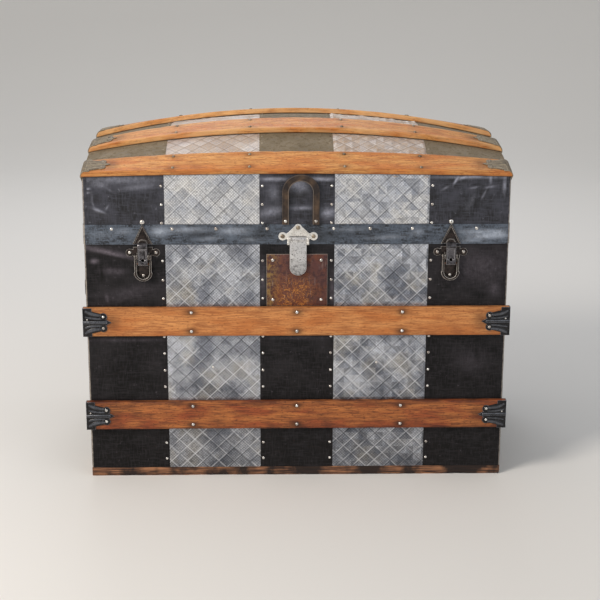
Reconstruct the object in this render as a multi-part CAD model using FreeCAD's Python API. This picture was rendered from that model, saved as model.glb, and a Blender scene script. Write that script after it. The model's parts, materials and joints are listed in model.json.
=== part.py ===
"""Dome top trunk: a pine box with a compound-curved lid, covered in sheet iron and embossed tin.

Millimetres. The origin is on the floor under the middle of the box. +X runs to the viewer's right, +Y to the
back and +Z up, so the front face looks along -Y. Each piece is written to parts/NAME.step.
"""

import FreeCAD, Part
import math
import os

Vector = FreeCAD.Vector

# Box
BODY_LENGTH = 813.0
BODY_DEPTH = 483.0
SEAM_HEIGHT = 474.0
SEAM_GAP = 0.5
BOTTOM_BOARD = 18.0
BOARD = 11.0
CORNER_RADIUS = 5.0
LINING = 0.5
LINING_MARGIN = 3.0

# Sheet covering, in five upright strips
SHEET = 0.6
CENTRE_STRIP = 143.0
TIN_STRIP = 180.5

# Lid: its straight walls and the rise of the dome above them, at the ends and at the middle
END_WALL = 130.5
MIDDLE_WALL = 136.5
END_RISE = 27.0
MIDDLE_RISE = 72.0
STAVE = 9.0
STAVE_COUNT = 8
STAVE_JOINT = 0.4
STAVE_SEAT = 0.1
END_SHEET_FOLD = 9.0
BAND_HEIGHT = 39.0
BAND = 1.2

# Hardwood slats
SLAT_WIDTH = 57.0
SLAT = 10.5
SLAT_OVERHANG = 5.0
DOME_SLAT_OVERHANG = 1.0
DOME_SLAT_ROUNDING = 9.0
SLAT_EASE = 2.0
SLAT_SEAT = 0.3
UPPER_SLAT_HEIGHT = 322.5
LOWER_SLAT_HEIGHT = 131.0
EDGE_SLAT_INSET = 23.5
EDGE_SLAT_END_INSET = 26.5
CROWN_SLAT_OFFSET = 86.5
CROWN_SLAT_END_OFFSET = 75.5

# Stamped slat clamps: a fleur over the slat, a step round its end and a tab on the end of the trunk
CLAMP = 1.6
CLAMP_PLATE = 16.0
CLAMP_WAIST = 27.0
CLAMP_WAIST_WIDTH = 17.0
CLAMP_DIP = 2.75
CLAMP_DIP_SPREAD = 7.1
CLAMP_LOBE_REACH = 38.0
CLAMP_LOBE_SPREAD = 11.5
CLAMP_LOBE = 7.5
CLAMP_TIP = 54.0
CLAMP_TAB = 26.0
CLAMP_TAB_WIDTH = 32.0
CLAMP_RIB = 5.0
CLAMP_RIB_RISE = 1.2
CLAMP_RIB_END_GAP = 9.0
CLAMP_SEAT = 0.1

# Nail heads
NAIL_HEAD = 3.4
NAIL_CROWN = 1.9
NAIL_RISE = 1.7
NAIL_SIDES = 8
NAIL_SEAT = 0.05
BOX_NAIL_SPACING = 204.0
LID_NAIL_INNER = 90.0
LID_NAIL_OUTER = 235.0
SLAT_NAIL_SPREAD = 19.0

# Lock plate and hasp
LOCK_PLATE_WIDTH = 117.0
LOCK_PLATE_TOP_DROP = 19.0
LOCK_PLATE_SLAT_GAP = 1.0
LOCK_PLATE = 1.0
LOCK_NAIL_INSET = 12.0
HASP_X = 2.0
HASP_AXIS_RISE = 11.5
HASP_PLATE = 2.0
HASP_APEX_RISE = 25.0
HASP_APEX_LOBE = 7.0
HASP_APEX_NECK = 5.6
HASP_EAR_REACH = 29.5
HASP_EAR_RISE = 4.5
HASP_EAR_LOBE = 8.0
HASP_EAR_BAR = 5.6
HASP_KNUCKLE = 4.2
HASP_PIN = 2.0
HASP_CHEEK = 4.5
HASP_CHEEK_DROP = 12.0
TONGUE_WIDTH = 32.0
TONGUE_LENGTH = 72.0
TONGUE = 2.2
TONGUE_BOW = 2.0
STAPLE_DROP = 45.0
STAPLE_HEIGHT = 12.0
STAPLE = 2.4

# Leather pull loop
LOOP_X = 7.0
LOOP_WIDTH = 71.0
LOOP_HEIGHT = 96.0
LOOP_STRAP = 13.0
LOOP_LEATHER = 4.0
LOOP_LEAN = 6.5

# Draw catches, one each side of the hasp. Outs are measured from the front of the box
CATCH_INSET = 112.0
CATCH_PLATE = 1.5
CATCH_PLATE_WIDTH = 24.0
CATCH_SHOULDER_WIDTH = 37.0
CATCH_PLATE_TOP_DROP = 4.0
CATCH_EAR_REACH = 25.0
CATCH_EAR_RISE = 7.0
CATCH_EAR_LOBE = 7.5
CATCH_EAR_BAR = 6.0
CATCH_FOOT_NAIL_RISE = 4.4
CATCH_FOOT_DROP = 43.0
LEVER_AXIS_OUT = 9.0
LEVER_AXIS_DROP = 22.0
LEVER_WIDTH = 32.4
LEVER_RIM = 4.2
LEVER_SHOULDER = 1.5
LEVER_LENGTH = 48.0
LEVER_BACK = 3.0
LEVER_THICKNESS = 6.0
LEVER_EYE = 4.6
LEVER_PIN = 2.0
CHEEK = 2.0
CHEEK_EYE = 6.0
HOOK_AXIS_OUT = 6.2
HOOK_AXIS_DROP = 14.0
HOOK_WIDTH = 18.0
HOOK_EYE = 3.4
HOOK_PIN = 1.6
HOOK_PLATE = 2.0
HOOK_SHOULDER_RISE = 16.0
HOOK_HEEL_RISE = 2.7
HOOK_LIP_DROP = 4.8
HOOK_LIP_RISE = 3.5
HOOK_HOLE = 3.2
HOOK_HOLE_RISE = 8.0
HOOK_BORDER = 2.4
HOOK_RECESS = 0.5
HOOK_REACH = 0.5
KEEPER = 1.6
KEEPER_FOOT_RISE = 1.5
KEEPER_HEIGHT = 39.0
KEEPER_WIDTH = 38.0
KEEPER_RIB = 2.4
KEEPER_RIB_RISE = 2.2
KEEPER_KNOB = 5.0
KEEPER_KNOB_RISE = 3.4
KEEPER_KNOB_GAP = 3.5
KEEPER_NOSE = 9.0
KEEPER_NOSE_RISE = 5.0

# Back hinges
HINGE_SPACING = 290.0
HINGE_WIDTH = 52.0
HINGE_LEAF = 1.8
HINGE_LEAF_HEIGHT = 40.0
HINGE_LID_LEAF_HEIGHT = 30.0
HINGE_KNUCKLE = 4.6
HINGE_PIN = 2.2
HINGE_KNUCKLES = 3

# End handles: a leather strap bowed out between two cast caps
HANDLE_HEIGHT = 330.0
HANDLE_SPAN = 170.0
HANDLE_WIDTH = 27.0
HANDLE_LEATHER = 6.0
HANDLE_BOW = 22.0
HANDLE_TAB = 26.0
CAP_LENGTH = 34.0
CAP_WALL = 3.0
CAP_EASE = 2.5
CAP_FLANGE = 12.0
CAP_FLANGE_THICKNESS = 2.0

# Tray cleats
CLEAT_HEIGHT = 372.0
CLEAT_DEPTH = 16.0
CLEAT = 12.0
CLEAT_END_GAP = 25.0

# Clearances
PIN_CLEARANCE = 0.05
RUNNING_GAP = 0.4
STRAP_CLEARANCE = 0.3

# Places worked out from the sizes above
HALF_LENGTH = BODY_LENGTH / 2
HALF_DEPTH = BODY_DEPTH / 2
LID_BASE = SEAM_HEIGHT + SEAM_GAP
TIN_INNER = CENTRE_STRIP / 2
TIN_OUTER = TIN_INNER + TIN_STRIP
CATCH_X = HALF_LENGTH - CATCH_INSET
INNER_HALF_LENGTH = HALF_LENGTH - SHEET - BOARD
INNER_HALF_DEPTH = HALF_DEPTH - SHEET - BOARD
BAND_TOP = LID_BASE + BAND_HEIGHT
HINGE_AXIS_Y = HALF_DEPTH + BAND + RUNNING_GAP + HINGE_KNUCKLE
HINGE_AXIS_HEIGHT = SEAM_HEIGHT + SEAM_GAP / 2
HASP_AXIS_OUT = BAND + RUNNING_GAP + HASP_KNUCKLE
HASP_AXIS_HEIGHT = LID_BASE + HASP_AXIS_RISE
LOCK_PLATE_TOP = SEAM_HEIGHT - LOCK_PLATE_TOP_DROP
LOCK_PLATE_FOOT = UPPER_SLAT_HEIGHT + SLAT_WIDTH / 2 + LOCK_PLATE_SLAT_GAP
LEVER_AXIS_HEIGHT = SEAM_HEIGHT - LEVER_AXIS_DROP
LEVER_FOOT = LEVER_AXIS_HEIGHT - LEVER_LENGTH
CATCH_PLATE_TOP = SEAM_HEIGHT - CATCH_PLATE_TOP_DROP
CATCH_PLATE_FOOT = LEVER_AXIS_HEIGHT - CATCH_FOOT_DROP
CATCH_EAR_HEIGHT = LEVER_AXIS_HEIGHT + CATCH_EAR_RISE
HOOK_AXIS_HEIGHT = LEVER_AXIS_HEIGHT - HOOK_AXIS_DROP
HOOK_SHOULDER = LEVER_AXIS_HEIGHT + HOOK_SHOULDER_RISE
HOOK_HOLE_HEIGHT = HOOK_AXIS_HEIGHT + HOOK_HOLE_RISE
KEEPER_FOOT = LID_BASE + KEEPER_FOOT_RISE
KEEPER_APEX = KEEPER_FOOT + KEEPER_HEIGHT
HOOK_TOP = KEEPER_FOOT + HOOK_LIP_RISE
FAR = 2 * (BODY_LENGTH + BODY_DEPTH + SEAM_HEIGHT)


# ---- Shapes that many pieces use


def block(x, y, z):
    """A block between low and high values along each axis."""
    return Part.makeBox(x[1] - x[0], y[1] - y[0], z[1] - z[0], Vector(x[0], y[0], z[0]))


def cylinder_x(x, y, z, radius):
    """A round bar along X, from x[0] to x[1], centred at y and z."""
    return Part.makeCylinder(radius, x[1] - x[0], Vector(x[0], y, z), Vector(1, 0, 0))


def polygon(points):
    """A flat face inside straight lines through the points."""
    return Part.Face(Part.makePolygon(points + points[:1]))


def disc(centre, radius, normal):
    """A flat round face."""
    return Part.Face(Part.Wire(Part.makeCircle(radius, centre, normal)))


def line(a, b):
    """A straight edge."""
    return Part.LineSegment(a, b).toShape()


def arc(a, middle, b):
    """A round edge from a to b by way of a middle point."""
    return Part.Arc(a, middle, b).toShape()


def joined(shapes):
    """One solid from overlapping ones, with the seams between their faces removed."""
    return shapes[0].multiFuse(shapes[1:]).removeSplitter()


def front(x, out, height):
    """A point in front of the box: out is the distance from its front face."""
    return Vector(x, -HALF_DEPTH - out, height)


def front_plate(faces, out, thickness):
    """One plate from overlapping flat faces drawn in the plane y = 0, standing out from the front face."""
    plates = [face.extrude(Vector(0, -thickness, 0)) for face in faces]
    plate = joined(plates) if len(plates) > 1 else plates[0]
    plate.translate(Vector(0, -HALF_DEPTH - out, 0))
    return plate


def flat_point(x, z):
    """A point of an outline drawn in the plane y = 0."""
    return Vector(x, 0, z)


def rounded_block(length, depth, low, high, radius):
    """A block centred over the origin, with its upright edges rounded."""
    solid = block((-length / 2, length / 2), (-depth / 2, depth / 2), (low, high))
    upright = [edge for edge in solid.Edges if abs(edge.tangentAt(edge.FirstParameter).z) > 0.99]
    return solid.makeFillet(radius, upright) if radius > 0 else solid


def box_form(inset, low, high):
    """The outside of the box between two heights, taken in by an inset."""
    return rounded_block(BODY_LENGTH - 2 * inset, BODY_DEPTH - 2 * inset, low, high, CORNER_RADIUS - inset)


def beyond(x_low, x_high):
    """Everything between two planes across the trunk's length."""
    return block((x_low, x_high), (-FAR, FAR), (-FAR, FAR))


def nail(place, normal):
    """The head of a nail: a low faceted button that stands on a surface."""
    turns = [2 * math.pi * i / NAIL_SIDES for i in range(NAIL_SIDES)]
    low = [Vector(NAIL_HEAD * math.cos(t), NAIL_HEAD * math.sin(t), NAIL_SEAT) for t in turns]
    high = [Vector(NAIL_CROWN * math.cos(t), NAIL_CROWN * math.sin(t), NAIL_RISE) for t in turns]
    faces = [polygon(low[::-1]), polygon(high)]
    faces += [polygon([low[i - 1], low[i], high[i], high[i - 1]]) for i in range(NAIL_SIDES)]
    head = Part.Solid(Part.Shell(faces))
    head.Placement = FreeCAD.Placement(place, FreeCAD.Rotation(Vector(0, 0, 1), normal))
    return head


# ---- The dome


def bow(x):
    """1 at the middle of the lid and 0 at its ends, along a parabola."""
    return 1 - (x / HALF_LENGTH) ** 2


def dome_height(x, y):
    """Height of the covering at a place: the wall's top, and above it a rise that ends at the walls."""
    wall = END_WALL + (MIDDLE_WALL - END_WALL) * bow(x)
    rise = END_RISE + (MIDDLE_RISE - END_RISE) * bow(x)
    return LID_BASE + wall + rise * (1 - (y / HALF_DEPTH) ** 2)


def dome_slope(x, y):
    """How fast the covering climbs towards the back."""
    rise = END_RISE + (MIDDLE_RISE - END_RISE) * bow(x)
    return -2 * rise * y / HALF_DEPTH**2


def stations(low, high, count):
    """Evenly spaced places between two ends."""
    return [low + (high - low) * i / (count - 1) for i in range(count)]


def under_dome(inset):
    """Everything below the doubly curved covering, lowered by an inset and wider than the lid."""
    x_reach = HALF_LENGTH + 2 * SLAT_OVERHANG
    y_reach = HALF_DEPTH + 2 * SLAT_OVERHANG
    surface = Part.BezierSurface()
    surface.increase(2, 2)
    for i, x_side in enumerate((-1, 0, 1)):
        for j, y_side in enumerate((-1, 0, 1)):
            # A middle pole of a parabola lies twice its crown's height above the chord
            here = dome_height(x_side * x_reach, y_side * y_reach)
            y_edge = dome_height(x_side * x_reach, y_reach)
            x_edge = dome_height(x_reach, y_side * y_reach)
            corner = dome_height(x_reach, y_reach)
            height = here
            if x_side == 0:
                height += here - x_edge
            if y_side == 0:
                height += here - y_edge
            if x_side == 0 and y_side == 0:
                height += here - x_edge - y_edge + corner
            surface.setPole(i + 1, j + 1, Vector(x_side * x_reach, y_side * y_reach, height - inset))
    return surface.toShape().extrude(Vector(0, 0, -MIDDLE_WALL - MIDDLE_RISE - BAND_HEIGHT))


def stave_edges():
    """Y of the joints between the staves, and of their outer edges."""
    return stations(-HALF_DEPTH, HALF_DEPTH, STAVE_COUNT + 1)


def under_staves(inset):
    """Everything below the staves' tops, which are flat across and bend along the lid."""
    x_reach = HALF_LENGTH + 2 * SLAT_OVERHANG
    sections = []
    for x in stations(-x_reach, x_reach, 7):
        points = [Vector(x, y, dome_height(x, y) - SHEET - STAVE_SEAT - inset) for y in stave_edges()]
        points.append(Vector(x, HALF_DEPTH, LID_BASE - BAND_HEIGHT))
        points.append(Vector(x, -HALF_DEPTH, LID_BASE - BAND_HEIGHT))
        sections.append(Part.makePolygon(points + points[:1]))
    return Part.makeLoft(sections, True, False)


def lid_form(wall_inset, dome):
    """The outside of the lid, with its walls taken in, under a given dome."""
    top = LID_BASE + MIDDLE_WALL + MIDDLE_RISE + SLAT
    return box_form(wall_inset, LID_BASE, top).common(dome)


# ---- Slats


class FlatSlat:
    """Lies straight along the front of the box. A slat's own axes are X, across its width and outwards."""

    seat = 0.0
    overhang = SLAT_OVERHANG
    rounding = 0.0

    def __init__(self, height):
        self.height = height

    def frame(self, x):
        """Foot of the outward normal on the covering, the across direction and the outward direction."""
        return Vector(x, -HALF_DEPTH, self.height), Vector(0, 0, 1), Vector(0, -1, 0)


class DomeSlat:
    """Bends over the lid, a little further from the ridge at the middle than at its ends, and twists."""

    seat = SLAT_SEAT
    overhang = DOME_SLAT_OVERHANG
    rounding = DOME_SLAT_ROUNDING

    def __init__(self, end_y, middle_y):
        self.end_y = end_y
        self.middle_y = middle_y

    def frame(self, x):
        """Foot of the outward normal on the covering, the across direction and the outward direction."""
        y = self.end_y + (self.middle_y - self.end_y) * bow(x)
        tilt = math.atan(dome_slope(x, y))
        across = Vector(0, math.cos(tilt), math.sin(tilt))
        return Vector(x, y, dome_height(x, y)), across, Vector(0, -math.sin(tilt), math.cos(tilt))


def slat_point(slat, x, across, out):
    """A point given in a slat's own axes."""
    foot, across_axis, out_axis = slat.frame(x)
    return foot + across_axis * across + out_axis * out


def slat_normal(slat, x, across, out):
    """Outward normal of a slat's bent surface."""
    along = slat_point(slat, x + 1, across, out) - slat_point(slat, x - 1, across, out)
    return along.cross(slat.frame(x)[1])


def slat_loft(slat, outline, x_low, x_high):
    """A bar whose section, given as (across, out) points, follows the slat."""
    count = 9 if isinstance(slat, DomeSlat) else 2
    sections = []
    for x in stations(x_low, x_high, count):
        points = [slat_point(slat, x, across, out) for across, out in outline]
        sections.append(Part.makePolygon(points + points[:1]))
    return Part.makeLoft(sections, True, count == 2)


def slat_end(slat):
    """How far a slat reaches from the middle of the trunk."""
    return HALF_LENGTH + slat.overhang


def end_rounding(slat, side, offset):
    """Curve over a slat's end, raised by an offset: its start, its middle and its finish on the top.

    X is the distance in from the slat's end and Z is outwards. The last value is the top's outward direction.
    """
    top = slat.seat + SLAT
    foot, _, out = slat.frame(side * slat_end(slat))
    inner = slat_point(slat, side * (slat_end(slat) - slat.rounding), 0, top)
    climb = (inner - foot).dot(out) - top
    along = Vector(slat.rounding, 0, climb).normalize()
    normal = Vector(-along.z, 0, along.x)
    bisector = (along + Vector(0, 0, -1)).normalize()
    half_corner = math.acos(along.dot(bisector))
    radius = slat.rounding * math.tan(half_corner)
    centre = Vector(0, 0, top) + bisector * (slat.rounding / math.cos(half_corner))
    reach = radius + offset
    return centre - Vector(reach, 0, 0), centre - bisector * reach, centre + normal * reach, normal


def beyond_rounding(slat, side, offset):
    """Everything outside the curve over a slat's end."""
    start, middle, finish, normal = end_rounding(slat, side, offset)
    clear = 2 * SLAT
    corner = Vector(-clear, 0, finish.z + clear)
    raised = finish + normal * clear
    edges = [line(Vector(-clear, 0, start.z), start), arc(start, middle, finish), line(finish, raised)]
    edges += [line(raised, corner), line(corner, Vector(-clear, 0, start.z))]
    solid = Part.Face(Part.Wire(edges)).extrude(Vector(0, 2 * SLAT_WIDTH, 0))
    solid.translate(Vector(0, -SLAT_WIDTH, 0))
    return in_slat_axes(solid, slat, side)


def slat_bar(slat):
    """The wooden bar: flat underneath, its two outer edges eased and, on the dome, its ends rounded over."""
    half = SLAT_WIDTH / 2
    top = slat.seat + SLAT
    outline = [
        (-half, slat.seat),
        (half, slat.seat),
        (half, top - SLAT_EASE),
        (half - SLAT_EASE, top),
        (SLAT_EASE - half, top),
        (-half, top - SLAT_EASE),
    ]
    bar = slat_loft(slat, outline, -slat_end(slat), slat_end(slat))
    if slat.rounding:
        bar = bar.cut(Part.makeCompound([beyond_rounding(slat, side, 0) for side in (-1, 1)]))
    return bar


def clamp_fleur():
    """Outline of a clamp's front leg. X is the distance in from the slat's end and Y is across the slat."""
    half = SLAT_WIDTH / 2
    waist = CLAMP_WAIST_WIDTH / 2
    along = Vector(0, 0, 1)
    plate_edges = []
    for side in (1, -1):
        corner = Vector(CLAMP_PLATE, side * half, 0)
        neck = Vector(CLAMP_WAIST, side * waist, 0)
        dip = Vector(CLAMP_PLATE + CLAMP_DIP, side * (waist + CLAMP_DIP_SPREAD), 0)
        plate_edges.append((Vector(-2 * CLAMP, side * half, 0), corner, dip, neck))
    (top_end, top_corner, top_dip, top_neck), (low_end, low_corner, low_dip, low_neck) = plate_edges
    wire = Part.Wire(
        [
            line(top_end, top_corner),
            arc(top_corner, top_dip, top_neck),
            line(top_neck, low_neck),
            arc(low_neck, low_dip, low_corner),
            line(low_corner, low_end),
            line(low_end, top_end),
        ]
    )
    leaf = polygon(
        [
            Vector(CLAMP_WAIST - CLAMP_LOBE, waist, 0),
            Vector(CLAMP_LOBE_REACH, waist, 0),
            Vector(CLAMP_TIP, 0, 0),
            Vector(CLAMP_LOBE_REACH, -waist, 0),
            Vector(CLAMP_WAIST - CLAMP_LOBE, -waist, 0),
        ]
    )
    lobes = [disc(Vector(CLAMP_LOBE_REACH, s * CLAMP_LOBE_SPREAD, 0), CLAMP_LOBE, along) for s in (1, -1)]
    return [Part.Face(wire), leaf] + lobes


def in_slat_axes(shape, slat, side):
    """Moves a shape drawn for a slat's end: its X runs in from the end, its Y across and its Z outwards."""
    foot, _, out = slat.frame(side * slat_end(slat))
    inward = Vector(-side, 0, 0)
    across = out.cross(inward)
    rows = [(inward[i], across[i], out[i], foot[i]) for i in range(3)]
    placed = shape.copy()
    axes = FreeCAD.Placement(FreeCAD.Matrix(*rows[0], *rows[1], *rows[2]))
    placed.Placement = axes.multiply(shape.Placement)
    return placed


def slat_clamp(slat, side):
    """A clamp on one end of a slat: a ribbed fleur along the slat, then a step onto the trunk's end."""
    end = slat_end(slat)
    half = SLAT_WIDTH / 2
    top = slat.seat + SLAT + CLAMP_SEAT
    outer = side * (end + CLAMP)
    inner = side * (end - CLAMP_TIP - CLAMP_LOBE)
    cap_outline = [(-half, top), (half, top), (half, top + CLAMP), (-half, top + CLAMP)]
    cap = slat_loft(slat, cap_outline, min(outer, inner), max(outer, inner))
    fleur = joined([face.extrude(Vector(0, 0, 4 * SLAT)) for face in clamp_fleur()])
    fleur = in_slat_axes(fleur, slat, side)
    foot, crest = CLAMP_RIB / 2, CLAMP_RIB / 2 - CLAMP_RIB_RISE
    rib_top = top + CLAMP + CLAMP_RIB_RISE
    rib_outline = [(-foot, top + CLAMP / 2), (foot, top + CLAMP / 2), (crest, rib_top), (-crest, rib_top)]
    rib_end = side * (end - CLAMP_TIP + CLAMP_RIB_END_GAP)
    rib = slat_loft(slat, rib_outline, min(outer, rib_end), max(outer, rib_end))
    tab_half = CLAMP_TAB_WIDTH / 2
    step_profile = polygon(
        [
            Vector(0, 0, top + CLAMP),
            Vector(-CLAMP, 0, top + CLAMP),
            Vector(-CLAMP, 0, -CLAMP),
            Vector(slat.overhang - CLAMP, 0, -CLAMP),
            Vector(slat.overhang - CLAMP, 0, -CLAMP_TAB),
            Vector(slat.overhang, 0, -CLAMP_TAB),
            Vector(slat.overhang, 0, 0),
            Vector(0, 0, 0),
        ]
    )
    step = step_profile.extrude(Vector(0, SLAT_WIDTH, 0))
    step.translate(Vector(0, -half, 0))
    tab_outline = polygon(
        [
            Vector(0, -half, 4 * SLAT),
            Vector(0, half, 4 * SLAT),
            Vector(0, half, -CLAMP),
            Vector(0, tab_half, -CLAMP_TAB / 2),
            Vector(0, tab_half / 2, -CLAMP_TAB),
            Vector(0, -tab_half / 2, -CLAMP_TAB),
            Vector(0, -tab_half, -CLAMP_TAB / 2),
            Vector(0, -half, -CLAMP),
        ]
    )
    tab = tab_outline.extrude(Vector(4 * SLAT_OVERHANG, 0, 0))
    tab.translate(Vector(-2 * SLAT_OVERHANG, 0, 0))
    step = in_slat_axes(step.common(tab), slat, side)
    clamp = joined([cap.common(fleur), rib, step])
    if slat.rounding:
        skin = CLAMP_SEAT + CLAMP
        clamp = joined([clamp.cut(beyond_rounding(slat, side, skin)), clamp_bend(slat, side)])
    return clamp


def clamp_bend(slat, side):
    """The part of a clamp that follows a rounded slat end."""
    near_start, near_middle, near_finish, _ = end_rounding(slat, side, CLAMP_SEAT)
    far_start, far_middle, far_finish, _ = end_rounding(slat, side, CLAMP_SEAT + CLAMP)
    edges = [arc(near_start, near_middle, near_finish), line(near_finish, far_finish)]
    edges += [arc(far_finish, far_middle, far_start), line(far_start, near_start)]
    bend = Part.Face(Part.Wire(edges)).extrude(Vector(0, SLAT_WIDTH, 0))
    bend.translate(Vector(0, -SLAT_WIDTH / 2, 0))
    return in_slat_axes(bend, slat, side)


def both_ends(slat):
    """The two clamps of a slat."""
    return [slat_clamp(slat, side) for side in (-1, 1)]


def slat_nails(slat, places):
    """Pairs of nails along a slat."""
    top = slat.seat + SLAT
    heads = []
    for x in places:
        for side in (-1, 1):
            across = side * SLAT_NAIL_SPREAD
            heads.append(nail(slat_point(slat, x, across, top), slat_normal(slat, x, across, top)))
    return heads


def mirrored(shape):
    """The same shape on the other side of the trunk's middle plane, front to back."""
    return shape.mirror(Vector(0, 0, 0), Vector(0, 1, 0))


# ---- Pieces of the box


def box_boards():
    """Front and back boards over the full length, end boards between them, and the bottom under all four."""
    low = BOTTOM_BOARD
    walls = box_form(SHEET, low, SEAM_HEIGHT)
    slab = HALF_DEPTH - SHEET - BOARD
    end = block((INNER_HALF_LENGTH, INNER_HALF_LENGTH + BOARD), (-slab, slab), (low, SEAM_HEIGHT))
    return {
        "base_front_board": walls.common(block((-FAR, FAR), (-FAR, -slab), (-FAR, FAR))),
        "base_back_board": walls.common(block((-FAR, FAR), (slab, FAR), (-FAR, FAR))),
        "base_left_end_board": end.mirror(Vector(0, 0, 0), Vector(1, 0, 0)),
        "base_right_end_board": end,
        "base_bottom_board": box_form(0, 0, low),
    }


def box_covers():
    """Black sheet round the ends and down the middle, tin between, and one plain sheet over the back."""
    skin = box_form(0, BOTTOM_BOARD, SEAM_HEIGHT).cut(box_form(SHEET, BOTTOM_BOARD, SEAM_HEIGHT))
    back_edge = HALF_DEPTH - CORNER_RADIUS
    ahead = block((-FAR, FAR), (-FAR, back_edge), (-FAR, FAR))
    behind = block((-FAR, FAR), (back_edge, FAR), (-FAR, FAR))
    wrapped = skin.common(ahead)
    return {
        "base_left_cover": wrapped.common(beyond(-FAR, -TIN_OUTER)),
        "base_right_cover": wrapped.common(beyond(TIN_OUTER, FAR)),
        "base_centre_cover": wrapped.common(beyond(-TIN_INNER, TIN_INNER)),
        "base_left_tin": wrapped.common(beyond(-TIN_OUTER, -TIN_INNER)),
        "base_right_tin": wrapped.common(beyond(TIN_INNER, TIN_OUTER)),
        "base_back_cover": skin.common(behind),
    }


def box_lining():
    """Paper over the inside faces of the boards and the bottom."""
    outer = block(
        (-INNER_HALF_LENGTH, INNER_HALF_LENGTH),
        (-INNER_HALF_DEPTH, INNER_HALF_DEPTH),
        (BOTTOM_BOARD, SEAM_HEIGHT),
    )
    length, depth = INNER_HALF_LENGTH - LINING, INNER_HALF_DEPTH - LINING
    return outer.cut(block((-length, length), (-depth, depth), (BOTTOM_BOARD + LINING, FAR)))


def tray_cleats():
    """Two strips on the end linings, which a lift-out tray would stand on."""
    x = INNER_HALF_LENGTH - LINING
    y = INNER_HALF_DEPTH - LINING - CLEAT_END_GAP
    cleat = block((x - CLEAT, x), (-y, y), (CLEAT_HEIGHT - CLEAT_DEPTH, CLEAT_HEIGHT))
    return [cleat.mirror(Vector(0, 0, 0), Vector(1, 0, 0)), cleat]


def handle_strap():
    """Leather strap of the right-hand handle: flat tabs in the caps and a bow between them."""
    near = HALF_LENGTH + CAP_FLANGE_THICKNESS
    far = near + HANDLE_LEATHER
    bend = HANDLE_SPAN / 2
    end = bend + HANDLE_TAB
    wire = Part.Wire(
        [
            line(Vector(near, -end, 0), Vector(near, -bend, 0)),
            arc(Vector(near, -bend, 0), Vector(near + HANDLE_BOW, 0, 0), Vector(near, bend, 0)),
            line(Vector(near, bend, 0), Vector(near, end, 0)),
            line(Vector(near, end, 0), Vector(far, end, 0)),
            line(Vector(far, end, 0), Vector(far, bend, 0)),
            arc(Vector(far, bend, 0), Vector(far + HANDLE_BOW, 0, 0), Vector(far, -bend, 0)),
            line(Vector(far, -bend, 0), Vector(far, -end, 0)),
            line(Vector(far, -end, 0), Vector(near, -end, 0)),
        ]
    )
    strap = Part.Face(wire).extrude(Vector(0, 0, HANDLE_WIDTH))
    strap.translate(Vector(0, 0, HANDLE_HEIGHT - HANDLE_WIDTH / 2))
    return strap


def handle_cap(side):
    """Cast cap over one end of the right-hand handle: a flange and a socket open towards the strap."""
    mouth = HANDLE_SPAN / 2 + RUNNING_GAP
    close = mouth + CAP_LENGTH
    half = HANDLE_WIDTH / 2 + CAP_WALL + STRAP_CLEARANCE
    out = CAP_FLANGE_THICKNESS + HANDLE_LEATHER + CAP_WALL + STRAP_CLEARANCE
    flange = block(
        (HALF_LENGTH, HALF_LENGTH + CAP_FLANGE_THICKNESS),
        (mouth, close),
        (HANDLE_HEIGHT - half - CAP_FLANGE, HANDLE_HEIGHT + half + CAP_FLANGE),
    )
    corners = [edge for edge in flange.Edges if abs(edge.tangentAt(edge.FirstParameter).x) > 0.99]
    flange = flange.makeFillet(CAP_FLANGE - CAP_FLANGE_THICKNESS, corners)
    hood_z = (HANDLE_HEIGHT - half, HANDLE_HEIGHT + half)
    hood = block((HALF_LENGTH, HALF_LENGTH + out), (mouth, close), hood_z)
    outer = [edge for edge in hood.Edges if edge.BoundBox.XMin > HALF_LENGTH + out - 0.01]
    hood = hood.makeFillet(CAP_EASE, outer)
    pocket_half = HANDLE_WIDTH / 2 + STRAP_CLEARANCE
    pocket = block(
        (HALF_LENGTH + CAP_FLANGE_THICKNESS, HALF_LENGTH + out - CAP_WALL),
        (mouth - FAR, close - CAP_WALL),
        (HANDLE_HEIGHT - pocket_half, HANDLE_HEIGHT + pocket_half),
    )
    cap = joined([flange, hood]).cut(pocket)
    return cap if side > 0 else mirrored(cap)


def cap_nails(side):
    """Two nails in each flange of the right-hand handle's caps."""
    y = side * (HANDLE_SPAN / 2 + RUNNING_GAP + CAP_LENGTH / 2)
    rise = HANDLE_WIDTH / 2 + CAP_WALL + STRAP_CLEARANCE + CAP_FLANGE / 2
    x = HALF_LENGTH + CAP_FLANGE_THICKNESS
    return [nail(Vector(x, y, HANDLE_HEIGHT + s * rise), Vector(1, 0, 0)) for s in (-1, 1)]


def to_left(shape):
    """The same shape on the trunk's left side."""
    return shape.mirror(Vector(0, 0, 0), Vector(1, 0, 0))


def lock_plate():
    """Plain plate behind the hasp's tongue."""
    half = LOCK_PLATE_WIDTH / 2
    return block((-half, half), (-HALF_DEPTH - LOCK_PLATE, -HALF_DEPTH), (LOCK_PLATE_FOOT, LOCK_PLATE_TOP))


def lock_nails():
    """One nail in each corner of the lock plate."""
    x = LOCK_PLATE_WIDTH / 2 - LOCK_NAIL_INSET
    low = LOCK_PLATE_FOOT + LOCK_NAIL_INSET
    high = LOCK_PLATE_TOP - LOCK_NAIL_INSET
    return [nail(front(s * x, LOCK_PLATE, z), Vector(0, -1, 0)) for s in (-1, 1) for z in (low, high)]


# ---- Draw catches, modelled at x = 0 and moved to each side


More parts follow.
